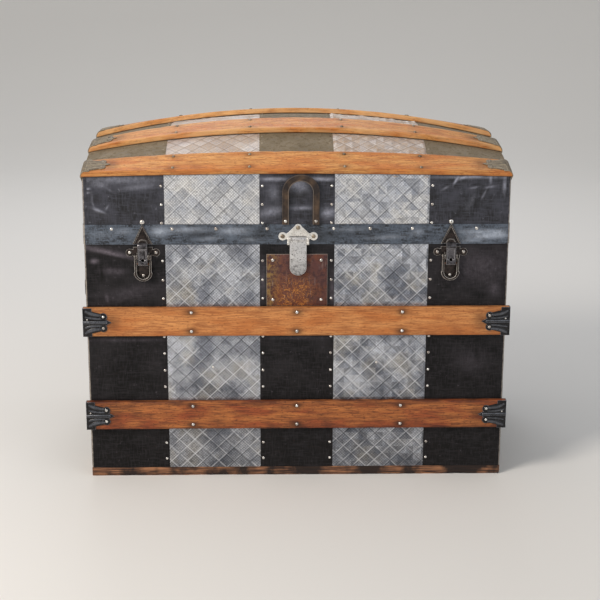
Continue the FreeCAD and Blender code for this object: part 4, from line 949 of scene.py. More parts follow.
class SheetTree(PartTree):
    """Geometry nodes that press a pattern into a sheet: a diamond lattice with double ridges, and soft dents. They also
    store the bands of painted highlight and painted shade beside the ridges and a tone for each diamond.
    """

    THICKNESS = 0.6
    STEEP_FROM = 2.5
    SIZES = {
        "Lattice Width": 31.0,
        "Lattice Height": 30.0,
        "Line Spacing": 21.6,
        "Ridge Offset": 1.15,
        "Ridge Width": 0.7,
        "Ridge Reach": 1.6,
        "Ridge Height": 0.0,
        "Pillow Height": 0.0,
        "Dent Height": 0.0,
        "Dent Size": 60.0,
        "Seed": 0.0,
    }

    def __init__(self) -> None:
        """Builds the tree once."""
        super().__init__("press a sheet", dict.fromkeys(self.SIZES, "Float"))
        add, given = self.add, self.given
        sheet = add("GeometryNodeInputNamedAttribute", {"Name": "sheet"}, data_type="FLOAT_VECTOR")
        parts = add("SeparateXYZ", {0: sheet}).outputs
        across, up = [
            add("Math", {0: parts[axis], 1: given["Lattice " + size]}, operation="DIVIDE")
            for axis, size in (("X", "Width"), ("Y", "Height"))
        ]
        below = add("Math", {0: given["Ridge Offset"], 1: -1.0}, operation="MULTIPLY")
        # Bands along each lattice line: the raised ridge in the middle, a painted highlight on its upper side, and
        # painted shade, where dirt also settles, on its lower side
        bells = {
            "ridge": (given["Ridge Offset"], given["Ridge Width"]),
            "groove": (below, given["Ridge Width"]),
            "raised": (0.0, given["Ridge Reach"]),
        }
        lines: dict[str, Source | float] = dict.fromkeys(bells, 0.0)
        numbers, nears, signs = [], [], []
        for operation in ("ADD", "SUBTRACT"):
            line = add("Math", {0: up, 1: across}, operation=operation)
            numbers.append(add("Math", {0: line}, operation="FLOOR"))
            signed = add("Math", {0: line, 1: 0.5, 2: -0.5}, operation="WRAP")
            nears.append(add("Math", {0: signed}, operation="ABSOLUTE"))
            signs.append(add("Math", {0: signed, 1: 0.0}, operation="GREATER_THAN"))
            away = add("Math", {0: signed, 1: given["Line Spacing"]}, operation="MULTIPLY")
            for name, (centre, width) in bells.items():
                sockets = {0: lines[name], 1: self.bell(away, centre, width)}
                lines[name] = add("Math", sockets, operation="MAXIMUM")
        # Where the diamonds are pyramids, each of their four faces has its own tone, a painted reflection of faces that
        # catch the light differently
        steep = add("Math", {0: given["Pillow Height"], 1: self.STEEP_FROM}, operation="GREATER_THAN")
        first = add("Math", {0: nears[0], 1: nears[1]}, operation="LESS_THAN")
        later = add("Math", {0: signs[1], 1: 2.0}, operation="ADD")
        face = add("Mix", {0: first, 2: later, 3: signs[0]})
        side = add("Math", {0: face, 1: steep}, operation="MULTIPLY")
        cell, chance = [
            add("TexWhiteNoise", {"Vector": add("CombineXYZ", {0: numbers[0], 1: numbers[1], 2: third})})
            for third in (0.0, side)
        ]
        strength = add("MapRange", {0: steep, 3: 0.74, 4: 0.92})
        tone = add("Math", {0: chance, 1: strength}, operation="MULTIPLY")
        nearest = add("Math", {0: nears[0], 1: nears[1]}, operation="MINIMUM")
        height = add("Math", {0: lines["raised"], 1: given["Ridge Height"]}, operation="MULTIPLY")
        crown = add("Math", {0: nearest, 1: 2.0}, operation="MULTIPLY")
        share = add("Math", {0: cell, 1: 0.75, 2: 0.25}, operation="MULTIPLY_ADD")
        crown = add("Math", {0: crown, 1: share}, operation="MULTIPLY")
        place = add("VectorMath", {0: sheet, 1: (1.0, 1.0, 0.0)}, operation="MULTIPLY")
        coarse = add("Math", {0: 1.0, 1: given["Dent Size"]}, operation="DIVIDE")
        dent = {"Vector": place, "W": given["Seed"], "Scale": coarse, "Detail": 2.0}
        dents = add("TexNoise", dent, noise_dimensions="4D")
        # A dent may stand out freely but only sinks as far as the board behind the sheet
        centred = add("Math", {0: dents, 1: 0.36}, operation="SUBTRACT")
        for form, size in ((crown, given["Pillow Height"]), (centred, given["Dent Height"])):
            height = add("Math", {0: form, 1: size, 2: height}, operation="MULTIPLY_ADD")
        for part in (parts["Z"], MM):
            height = add("Math", {0: height, 1: part}, operation="MULTIPLY")
        normal = add("GeometryNodeInputNormal")
        offset = add("VectorMath", {0: normal, "Scale": height}, operation="SCALE")
        kept = given["Geometry"]
        for name, value in (("groove", lines["groove"]), ("ridge", lines["ridge"]), ("cell", tone)):
            stored = {"Geometry": kept, "Name": name, "Value": value}
            kept = add("GeometryNodeStoreNamedAttribute", stored, data_type="FLOAT", domain="POINT")
        self.end(add("GeometryNodeSetPosition", {"Geometry": kept, "Offset": offset}))

    def bell(self, value: Source, centre: Source | float, width: Source) -> Source:
        """A bell curve of a distance.

        Args:
            value: the distance.
            centre: where the bell is 1.
            width: how wide it is.

        Returns:
            The bell's height.
        """
        steps = (("SUBTRACT", centre), ("DIVIDE", width), ("MULTIPLY", None), ("MULTIPLY", -1.0), ("EXPONENT", 0.0))
        for operation, by in steps:
            sockets = {0: value, 1: value if by is None else by}
            value = self.add("Math", sockets, operation=operation)
        return value

    def press(self, piece: Piece, finish: Finish, seed: float, sizes: dict[str, float]) -> None:
        """Presses a sheet and closes its edges.

        Args:
            piece: a grid with a "sheet" attribute of across, along and fade.
            finish: its finish.
            seed: picks the dents.
            sizes: named sizes of the pattern that differ from the usual ones.
        """
        self.give(piece, finish, {**self.SIZES, **sizes, "Seed": seed})
        rim = piece.modifiers.new("rim", "SOLIDIFY")
        rim.thickness = self.THICKNESS * MM
        rim.offset = -1
        rim.use_rim_only = True
        settle(piece)
        smooth_by_angle(piece.data, 40)


# ---- Slats


class Wall(Enum):
    """Which long side of the trunk a piece is on."""

    FRONT = -1
    BACK = 1


@dataclass(frozen=True)
class Slat:
    """One hardwood bar, straight across the box or bent over the lid, with its nails and its own wear."""

    node: str
    wall: Wall
    finish: OiledAsh
    nails: tuple[float, ...]
    height: float = 0.0
    end_y: float = 0.0
    middle_y: float = 0.0
    seat: float = 0.0
    width: float = 57.0
    thickness: float = 10.5
    overhang: float = 5.0
    rounding: float = 0.0
    ease: float = 2.2
    nail_spread: float = 19.0
    clamp_tip: float = 54.0
    step: float = 3.0
    top_steps: int = 22
    halo: float = 6.5
    halo_stretch: float = 1.7
    halo_dark: float = 0.85
    clamp_halo: tuple[float, float] = (16.0, 20.0)
    clamp_dark: float = 0.5
    # Painted shade at the foot of the bar's sides, where it meets the covering
    side_shade: float = 0.9
    seed: float = 0.0

    @property
    def bent(self) -> bool:
        """Whether the bar lies on the dome."""
        return self.height == 0

    @property
    def end(self) -> float:
        """Distance of the bar's end from the middle of the trunk."""
        return FORM.length / 2 + self.overhang

    @property
    def top(self) -> float:
        """Height of the bar's outer face above the covering."""
        return self.seat + self.thickness

    def frame(self, x: float) -> tuple[Vector, Vector, Vector]:
        """The bar's own axes at a place along it.

        Args:
            x: place along the trunk.

        Returns:
            Foot on the covering, direction across the bar and outward direction.
        """
        side = self.wall.value
        if not self.bent:
            return Vector((x, side * FORM.depth / 2, self.height)), Vector((0, 0, 1)), Vector((0, side, 0))
        y = self.end_y + (self.middle_y - self.end_y) * FORM.bow(x)
        tilt = FORM.tilt(x, -y)
        across = Vector((0, -side * math.cos(tilt), math.sin(tilt)))
        outward = Vector((0, side * math.sin(tilt), math.cos(tilt)))
        return Vector((x, side * y, FORM.dome(x, y))), across, outward

    def point(self, x: float, across: float, out: float) -> Vector:
        """A place given in the bar's own axes."""
        foot, across_axis, out_axis = self.frame(x)
        return foot + across_axis * across + out_axis * out

    def nail_marks(self, radius: float) -> list[Mark]:
        """Marks for the pairs of nails along the bar."""
        marks = []
        for x in self.nails:
            along = self.point(x + 1, 0, self.top) - self.point(x - 1, 0, self.top)
            _, across, out = self.frame(x)
            aim = along.cross(across).normalized()
            aim = -aim if aim.dot(out) < 0 else aim
            marks += [Mark(self.point(x, side * self.nail_spread, self.top), aim, radius) for side in (-1, 1)]
        return marks

    def build(self) -> Piece:
        """Sweeps the bar, wears its edges, stains it round its nails and clamps, and paints shade at the foot of its
        sides.
        """
        section = rounded_section(self.width, self.seat, self.top, self.ease, self.top_steps)
        inset = self.rounding
        places = evenly(inset - self.end, self.end - inset, self.step)
        curve = [inset * (1 - math.sin(math.pi / 2 * step / 7)) for step in range(1, 8)] if inset else []
        places = [-(self.end - reach) for reach in reversed(curve)] + places + [self.end - reach for reach in curve]
        frames = [self.frame(x) for x in places]

        def worn(i: int, j: int, point: Vector) -> Vector:
            across, out = section[j]
            if out <= self.seat:
                return point
            reach = self.end - abs(places[i])
            if reach < inset:
                ceiling = self.top - inset + math.sqrt(max(0.0, inset**2 - (inset - reach) ** 2))
                return point + frames[i][2] * min(0.0, ceiling - out)
            spot = Vector((places[i] / 26, across / 9, self.seed))
            rough = 0.18 * noise.noise(spot * 3)
            corner = max(0.0, abs(across) / (self.width / 2) - 0.86) / 0.14
            chip = max(0.0, noise.noise(spot) - 0.18) * 2.4 * corner
            return point + frames[i][2] * (-abs(rough) - chip)

        bar = swept_bar(self.node + "_bar", frames, section, worn)
        spots = [(x, across, out) for x in places for across, out in section]
        spaces = [part for x, across, out in spots for part in (x + 1000 * self.seed, across, out)]
        add_layer(bar.data, "bar", "FLOAT_VECTOR", spaces)
        add_layer(bar.data, "stain", "FLOAT", [self.stain(*spot) for spot in spots])
        smooth_by_angle(bar.data, 40)
        return seat(bar, self.finish, self.node)

    def stain(self, x: float, across: float, out: float) -> float:
        """How dark the wood is at a place: stains round nails and beside clamps, and painted shade at the foot of its
        sides.
        """
        dark = 0.0
        for nail in self.nails:
            for side in (-1, 1):
                away = math.hypot((x - nail) / self.halo_stretch, across - side * self.nail_spread)
                dark = max(dark, self.halo_dark * math.exp(-((away / self.halo) ** 2)))
        along = max(0.0, self.end - self.clamp_tip - abs(x)) / self.clamp_halo[0]
        dark = max(dark, self.clamp_dark * math.exp(-(along**2)) * math.exp(-((across / self.clamp_halo[1]) ** 2)))
        # Painted shade where the sides meet the covering
        if out <= self.seat:
            dark = max(dark, self.side_shade)
        return dark


@dataclass
class SlatWork:
    """All eight bars of the trunk."""

    upper: float = 322.5
    lower: float = 131.0
    edge_inset: float = 23.5
    edge_end_inset: float = 26.5
    crown_offset: float = 86.5
    crown_end_offset: float = 75.5
    lid_seat: float = 0.3
    lid_overhang: float = 1.0
    lid_rounding: float = 9.0
    lid_halo_dark: float = 0.45

    def slats(self) -> list[Slat]:
        """The bars, front ones first."""
        straight = (-204.0, 0.0, 204.0)
        bent = (-235.0, -90.0, 90.0, 235.0)
        edge = FORM.depth / 2 - self.edge_end_inset, FORM.depth / 2 - self.edge_inset
        crown = self.crown_end_offset, self.crown_offset
        shared = {
            "seat": self.lid_seat,
            "overhang": self.lid_overhang,
            "rounding": self.lid_rounding,
            "halo_dark": self.lid_halo_dark,
        }
        made = []
        for seed, wall in enumerate(Wall):
            name = wall.name.lower()
            made += [
                Slat(name + "_upper_slat", wall, UPPER_ASH, straight, height=self.upper, seed=seed + 0.1),
                Slat(name + "_lower_slat", wall, LOWER_ASH, straight, height=self.lower, seed=seed + 0.35),
            ]
            for part, finish, (end, middle), shift in (("edge", EDGE_ASH, edge, 0.6), ("crown", CROWN_ASH, crown, 0.8)):
                sizes = {"end_y": end, "middle_y": middle, "seed": seed + shift, **shared}
                made.append(Slat(f"lid_{name}_{part}_slat", wall, finish, bent, **sizes))
        return made

    def build(self) -> list[Slat]:
        """Builds every bar."""
        made = self.slats()
        for slat in made:
            slat.build()
        return made


# ---- Sheets


@dataclass(frozen=True)
class OvalMark:
    """A soft oval on a front sheet, laid at an angle: a scuff, a painted highlight, a stain, painted shade, or a place
    where the sheet stands proud.
    """

    x: float
    z: float
    across: float
    up: float
    share: float = 1.0
    turn: float = 0.0

    def strength(self, x: float, z: float) -> float:
        """How much of it there is at a place on the front."""
        reach = 2.4 * max(self.across, self.up)
        if abs(x - self.x) > reach or abs(z - self.z) > reach:
            return 0.0
        turn = math.radians(self.turn)
        along = (x - self.x) * math.cos(turn) + (z - self.z) * math.sin(turn)
        aside = (z - self.z) * math.cos(turn) - (x - self.x) * math.sin(turn)
        return self.share * math.exp(-((along / self.across) ** 2) - (aside / self.up) ** 2)


def oval_marks(*rows: Sequence[float]) -> tuple[OvalMark, ...]:
    """Oval marks from rows of their numbers: place, size across and up, share and turn."""
    return tuple(OvalMark(*row) for row in rows)


@dataclass
class SheetWork:
    """Black sheets, tin panels and the band."""

    # Scuffs, and painted sheens and highlights where the varnish catches the light
    scuffs_and_sheens: tuple[OvalMark, ...] = oval_marks(
        (-388, 566, 10, 1.3, 0.3, 96), (-386, 552, 7, 1.5, 0.35, 112), (-376, 540.5, 10, 2.6, 1, -26),
        (-355, 581, 6, 1.8, 0.22, -36), (-360, 547, 5, 1.8, 0.4, 60), (-396, 583, 6, 1.6, 0.6),
        (-397, 575, 6, 1.6, 0.6, 8), (-330, 600, 70, 7, 0.34), (-300, 586, 30, 5, 0.3, 5), (-372, 590, 14, 6, 0.3),
        (-44, 601, 24, 3.4, 0.75), (46, 601, 26, 3.4, 0.75), (4, 590, 16, 13, 0.8), (8, 545, 24, 3.6, 0.42),
        (-48, 538, 24, 9, 0.42, 10), (58, 536, 14, 9, 0.6), (-45, 575, 10, 14, 0.25, 20), (301, 598, 8, 2, 0.85, 60),
        (314, 603, 9, 2.2, 0.6, 22), (335, 605, 12, 2, 0.6), (281, 583, 7, 2, 0.4, 30), (336, 584, 7, 1.6, 0.5, 12),
        (356, 572, 9, 1.7, 0.45, 62), (366, 585, 9, 1.8, 0.55, 10), (367, 600, 2.6, 9, 0.45), (394, 588, 3.4, 14, 0.55),
        (330, 604, 80, 2.6, 0.4), (330, 555, 16, 5, 0.2, 70), (-362, 459, 46, 5.5, 0.62, -13),
        (-388, 442, 7, 4.2, 0.75), (-352, 422, 22, 6, 0.3, -4), (-366, 369, 3, 8, 0.35, 10),
        (-320, 380, 50, 14, 0.16, 12), (350, 430, 60, 34, 0.2), (382, 384, 11, 13, 0.2, 20), (-330, 284, 70, 4, 0.22),
        (340, 240, 30, 26, 0.12), (-66, 405, 5, 34, 0.3), (68, 385, 4, 30, 0.3), (0, 287, 60, 4, 0.25),
        (-372, 494, 26, 9, 0.15), (-330, 500, 16, 6, 0.3), (-262, 500, 14, 9, 0.7), (-210, 503, 34, 6, 0.6),
        (-120, 501, 30, 7, 0.65), (-168, 486, 20, 4, 0.4, 4), (-90, 484, 14, 4, 0.4), (100, 503, 30, 4, 0.35),
        (170, 488, 34, 4, 0.4, 3), (230, 498, 12, 6, 0.4), (352, 498, 40, 5, 0.7), (362, 489, 34, 4.5, 0.8, 2),
        (386, 494, 12, 7, 0.6), (332, 481, 22, 3, 0.4),
    )
    # Stains, and painted shade below creases and beside buckles
    stains_and_shade: tuple[OvalMark, ...] = oval_marks(
        (-374, 416, 2.6, 14, 0.95), (-358, 451, 48, 3.6, 0.75, -13), (-372, 536, 11, 2.2, 0.8, -26),
        (337, 590, 8, 2, 0.8, 10), (361, 578, 9, 2, 0.7, 56), (-186, 494, 30, 8, 0.55), (-70, 494, 26, 16, 0.5),
        (40, 494, 44, 18, 0.6), (130, 494, 40, 9, 0.4), (300, 494, 14, 16, 0.4), (-382, 562, 10, 12, 0.5),
        (352, 258, 5, 16, 0.7, 8), (330, 200, 12, 6, 0.4), (-350, 395, 26, 8, 0.4), (0, 570, 22, 7, 0.55),
        (-300, 548, 26, 20, 0.3), (322, 552, 30, 18, 0.25),
    )
    buckles: tuple[OvalMark, ...] = oval_marks(
        (-362, 461, 50, 8, 1.6, -13), (-376, 540, 12, 4, 1.1, -26), (-374, 428, 12, 26, 0.8), (-330, 565, 34, 20, 0.8),
        (-392, 580, 7, 5, 1.2), (320, 600, 26, 6, 1.2, 6), (336, 586, 9, 5, 1, 12), (359, 578, 12, 5, 1.2, 56),
        (378, 560, 14, 22, 0.8), (340, 420, 34, 26, 0.7), (384, 380, 12, 18, 0.8), (-340, 230, 30, 34, 0.8),
        (340, 230, 34, 26, 0.7), (6, 575, 20, 20, 0.9), (0, 230, 36, 30, 0.6),
    )
    side_pitch: float = 8.0
    tin_inset: float = 0.45
    pitch: float = 2.0
    tin_pitch: float = 1.35
    lid_tin_pitch: float = 1.55
    fade: float = 4.0
    ridge: float = 0.35
    dome_stretch: float = 1.06

    def __post_init__(self) -> None:
        """Makes the pressing tree."""
        self.tree = SheetTree()

    def lay(self, name: str, rows: Rows, finish: Finish, seed: float, sizes: dict[str, float]) -> None:
        """Lays one sheet over its node: makes it, marks where it is worn, where painted highlights and painted shade go
        and where it stands proud, presses it and seats it.

        Args:
            name: its node and what kind of sheet it is, with "/" between them.
            rows: its points, rightwards and lowest row first, each with across, along and fade.
            finish: its finish.
            seed: picks its dents.
            sizes: named sizes of its pattern.
        """
        node = name.split("/")[0]
        spots = [spot for row in rows for spot in row]
        faces = quads(len(rows), len(rows[0]), closed=False)
        mesh = new_mesh(name.replace("/", "_"), [point for point, _ in spots], faces)
        add_layer(mesh, "sheet", "FLOAT_VECTOR", [part for _, place in spots for part in place])
        scuff_and_sheen_values, soot_and_shade_values = [], []
        for vert, (_, (_, _, fade)) in zip(mesh.vertices, spots):
            x, y, z = vert.co / MM
            plain = y > 1 - FORM.depth / 2 or "_tin" in node
            # Scuffs with painted sheens and highlights, stains with painted shade, and buckles that stand proud
            scuff, soot, proud = [
                0.0 if plain else sum(rub.strength(x, z) for rub in group)
                for group in (self.scuffs_and_sheens, self.stains_and_shade, self.buckles)
            ]
            scuff_and_sheen_values.append(min(1.0, scuff))
            soot_and_shade_values.append(min(1.0, soot))
            vert.co.y -= proud * fade * MM
        add_layer(mesh, "scuff", "FLOAT", scuff_and_sheen_values)
        add_layer(mesh, "soot", "FLOAT", soot_and_shade_values)
        piece = link_object(mesh)
        self.tree.press(piece, finish, seed, sizes)
        seat(piece, finish, node)

    def edge_fade(self, *room: float) -> float:
        """0 at an edge and 1 a little way in from all of them."""
        return max(0.0, min(1.0, min(room) / self.fade))

    def on_plan(self, s: float) -> Spot:
        """Distance, place and outward direction at a distance along the box's plan from the middle of its front."""
        half_x, half_y, radius = FORM.length / 2, FORM.depth / 2, FORM.corner
        front, bend, side = FORM.front, FORM.bend, FORM.side
        if s <= front:
            return s, Vector((s, -half_y, 0)), Vector((0, -1, 0))
        if front + bend < s <= front + bend + side:
            return s, Vector((half_x, s - front - bend + radius - half_y, 0)), Vector((1, 0, 0))
        if s > front + 2 * bend + side:
            return s, Vector((front - (s - front - 2 * bend - side), half_y, 0)), Vector((0, 1, 0))
        if s <= front + bend:
            turn, middle = (s - front) / radius - math.pi / 2, radius - half_y
        else:
            turn, middle = (s - front - bend - side) / radius, half_y - radius
        out = Vector((math.cos(turn), math.sin(turn), 0))
        return s, Vector((front, middle, 0)) + out * radius, out

    def round_plan(self, start: float, end: float) -> Plan:
        """Places round the box's plan, to the viewer's right and on round the end to the back.

        Args:
            start: distance along the front from the middle.
            end: distance to stop at, round the corners.

        Returns:
            Distance, place and outward direction of each.
        """
        front, bend, near = FORM.front, FORM.bend, 0.01
        back = front + bend + FORM.side
        steps = evenly(start, min(end, front), self.pitch) if start < front else []
        for corner, stop in ((front, min(end, back)), (back, end)):
            if end > corner:
                steps += [corner + bend * i / 4 for i in range(1, 5)]
                steps += evenly(corner + bend, stop, self.side_pitch)[1:]
        return [self.on_plan(s) for s in [start] + [step for step in steps if step > start + near]]

    def mirrored(self, plan: Plan, about: float) -> Plan:
        """The same places on the left side, in the same order, their distances mirrored about one."""
        return [(2 * about - s, Vector((-at.x, at.y, 0)), Vector((-out.x, out.y, 0))) for s, at, out in plan]

    def box_sheet(self, node: str, plan: Plan, seed: float, left: bool = False) -> None:
        """Builds one upright black sheet of the box.

        Args:
            node: the node it replaces.
            plan: its places in plan, to the right.
            seed: picks its dents.
            left: whether it goes on the left side instead.
        """
        side = -1 if left else 1
        plan = plan[::side]
        low, high = FORM.floor_board, FORM.seam
        first, last = plan[0][0], plan[-1][0]
        rows = []
        for z in evenly(low, high, self.pitch):
            fades = [self.edge_fade(abs(s - first), abs(s - last), z - low, high - z) for s, _, _ in plan]
            rows.append([(Vector((side * at.x, at.y, z)), (s, z, fade)) for (s, at, _), fade in zip(plan, fades)])
        self.lay(node + "/sheet", rows, BOX_SHEET, seed, {"Dent Height": 2.0, "Dent Size": 55.0})

    def box_tin(self, node: str, side: int, pillow: float) -> None:
        """Builds one tin panel of the box.

        Args:
            node: the node it replaces.
            side: -1 for the left and 1 for the right.
            pillow: how far its diamonds stand out.
        """
        start, end = sorted((side * FORM.tin_inner, side * FORM.tin_outer))
        low, high = FORM.floor_board, FORM.seam
        y, xs = self.tin_inset - FORM.depth / 2, evenly(start, end, self.tin_pitch)
        rows = []
        for z in evenly(low, high, self.tin_pitch):
            hidden = min(abs(z - middle) for middle in (SlatWork.upper, SlatWork.lower)) - Slat.width / 2
            fades = [self.edge_fade(x - start, end - x, z - low, high - z, hidden) for x in xs]
            rows.append([(Vector((x, y, z)), (x, z, fade)) for x, fade in zip(xs, fades)])
        sizes = {"Ridge Height": self.ridge, "Pillow Height": pillow, "Dent Height": 1.0, "Dent Size": 45.0}
        self.lay(node + "/panel", rows, BOX_TIN, 3.0 + side, sizes)

    def lid_path(self, x: float, pitch: float, inset: float) -> list[tuple[float, Vector]]:
        """Path over the lid from its front lower edge to its back one.

        Args:
            x: place along the lid.
            pitch: distance between points.
            inset: how far inside the covering's face it runs.

        Returns:
            Distance along the path and place of each point.
        """
        half, base, top = FORM.depth / 2 - inset, FORM.lid_base, FORM.wall_top(x) - inset
        walls, domes = round(FORM.middle_wall / pitch), round(FORM.depth * self.dome_stretch / pitch)
        points = [Vector((x, -half, base + (top - base) * i / walls)) for i in range(walls)]
        for y in [half * (2 * i / domes - 1) for i in range(domes + 1)]:
            points.append(Vector((x, y, FORM.dome(x, y) - inset)))
        points += [Vector((x, half, top - (top - base) * i / walls)) for i in range(1, walls + 1)]
        path, reach = [], 0.0
        for i, point in enumerate(points):
            reach += (point - points[i - 1]).length if i else 0.0
            path.append((reach, point))
        return path

    def covered(self, x: float, point: Vector) -> float:
        """Distance of a place on the lid from the nearest slat or band that covers it; negative underneath."""
        nearest = point.z - FORM.lid_base - FORM.band_height
        if point.z > FORM.wall_top(x) - 5:
            half = FORM.depth / 2
            for end, middle in (
                (half - SlatWork.edge_end_inset, half - SlatWork.edge_inset),
                (SlatWork.crown_end_offset, SlatWork.crown_offset),
            ):
                y = end + (middle - end) * FORM.bow(x)
                tilt = math.cos(FORM.tilt(x, y))
                nearest = min(nearest, abs(abs(point.y) - y) / tilt - Slat.width / 2)
        return nearest

    def lid_sheet(self, node: str, low_x: float, high_x: float, seed: float, pillow: float = 0.0) -> None:
        """Builds one strip that runs up the lid's front, over the dome and down its back.

        Args:
            node: the node it replaces.
            low_x: its left edge.
            high_x: its right edge.
            seed: picks its dents.
            pillow: how far its diamonds stand out, where it is a stamped panel.
        """
        kind, finish, pitch, inset, ridge, dent = (
            ("/panel", LID_TIN, self.lid_tin_pitch, self.tin_inset, self.ridge, 0.8)
            if pillow
            else ("/sheet", LID_SHEET, self.pitch, 0.0, 0.0, 2.2)
        )
        xs = evenly(low_x, high_x, pitch)
        columns = [self.lid_path(x, pitch, inset) for x in xs]
        rows = []
        for spots in zip(*columns):
            row = []
            for x, (reach, point), column in zip(xs, spots, columns):
                rest = column[-1][0] - reach
                fade = self.edge_fade(x - low_x, high_x - x, reach, rest, self.covered(x, point))
                row.append((point, (x, reach + 8, fade)))
            rows.append(row)
        sizes = {"Ridge Height": ridge, "Pillow Height": pillow, "Dent Height": dent, "Dent Size": 45.0}
        self.lay(node + kind, rows, finish, seed, sizes)

    def band(self, node: str) -> None:
        """Builds the steel band that runs right round the lid's lower edge."""
        right = self.round_plan(0, 2 * FORM.front + 2 * FORM.bend + FORM.side)
        low, high = FORM.lid_base, FORM.lid_base + FORM.band_height
        rows = [
            [
                (at + out * FORM.band + Vector((0, 0, z)), (s, z, self.edge_fade(z - low, high - z)))
                for s, at, out in self.mirrored(right[:0:-1], 0) + right
            ]
            for z in evenly(low, high, self.pitch)
        ]
        self.lay(node + "/strip", rows, BAND_STEEL, 10.5, {"Dent Height": 0.7, "Dent Size": 38.0})

    def build(self) -> None:
        """Builds every sheet of the trunk."""
        inner, outer, fold = FORM.tin_inner, FORM.tin_outer, FORM.length / 2 - FORM.end_fold
        corner = FORM.front + FORM.bend + FORM.side
        middle = corner + FORM.bend + FORM.front
        wrap, back = self.round_plan(outer, corner), self.round_plan(corner, middle)
        self.box_sheet("base_left_cover", wrap, 1.5, left=True)
        self.box_sheet("base_right_cover", wrap, 2.5)
        self.box_sheet("base_centre_cover", self.round_plan(-inner, inner), 3.5)
        self.box_sheet("base_back_cover", back + self.mirrored(back[-2::-1], middle), 4.5)
        self.box_tin("base_left_tin", -1, 1.0)
        self.box_tin("base_right_tin", 1, 3.8)
        self.lid_sheet("lid_left_cover", -fold, -outer, 5.5)
        self.lid_sheet("lid_left_tin", -outer, -inner, 6.5, 1.6)
        self.lid_sheet("lid_centre_cover", -inner, inner, 7.5)
        self.lid_sheet("lid_right_tin", inner, outer, 8.5, 3.4)
        self.lid_sheet("lid_right_cover", outer, fold, 9.5)
        self.band("lid_band")


# ---- Nails


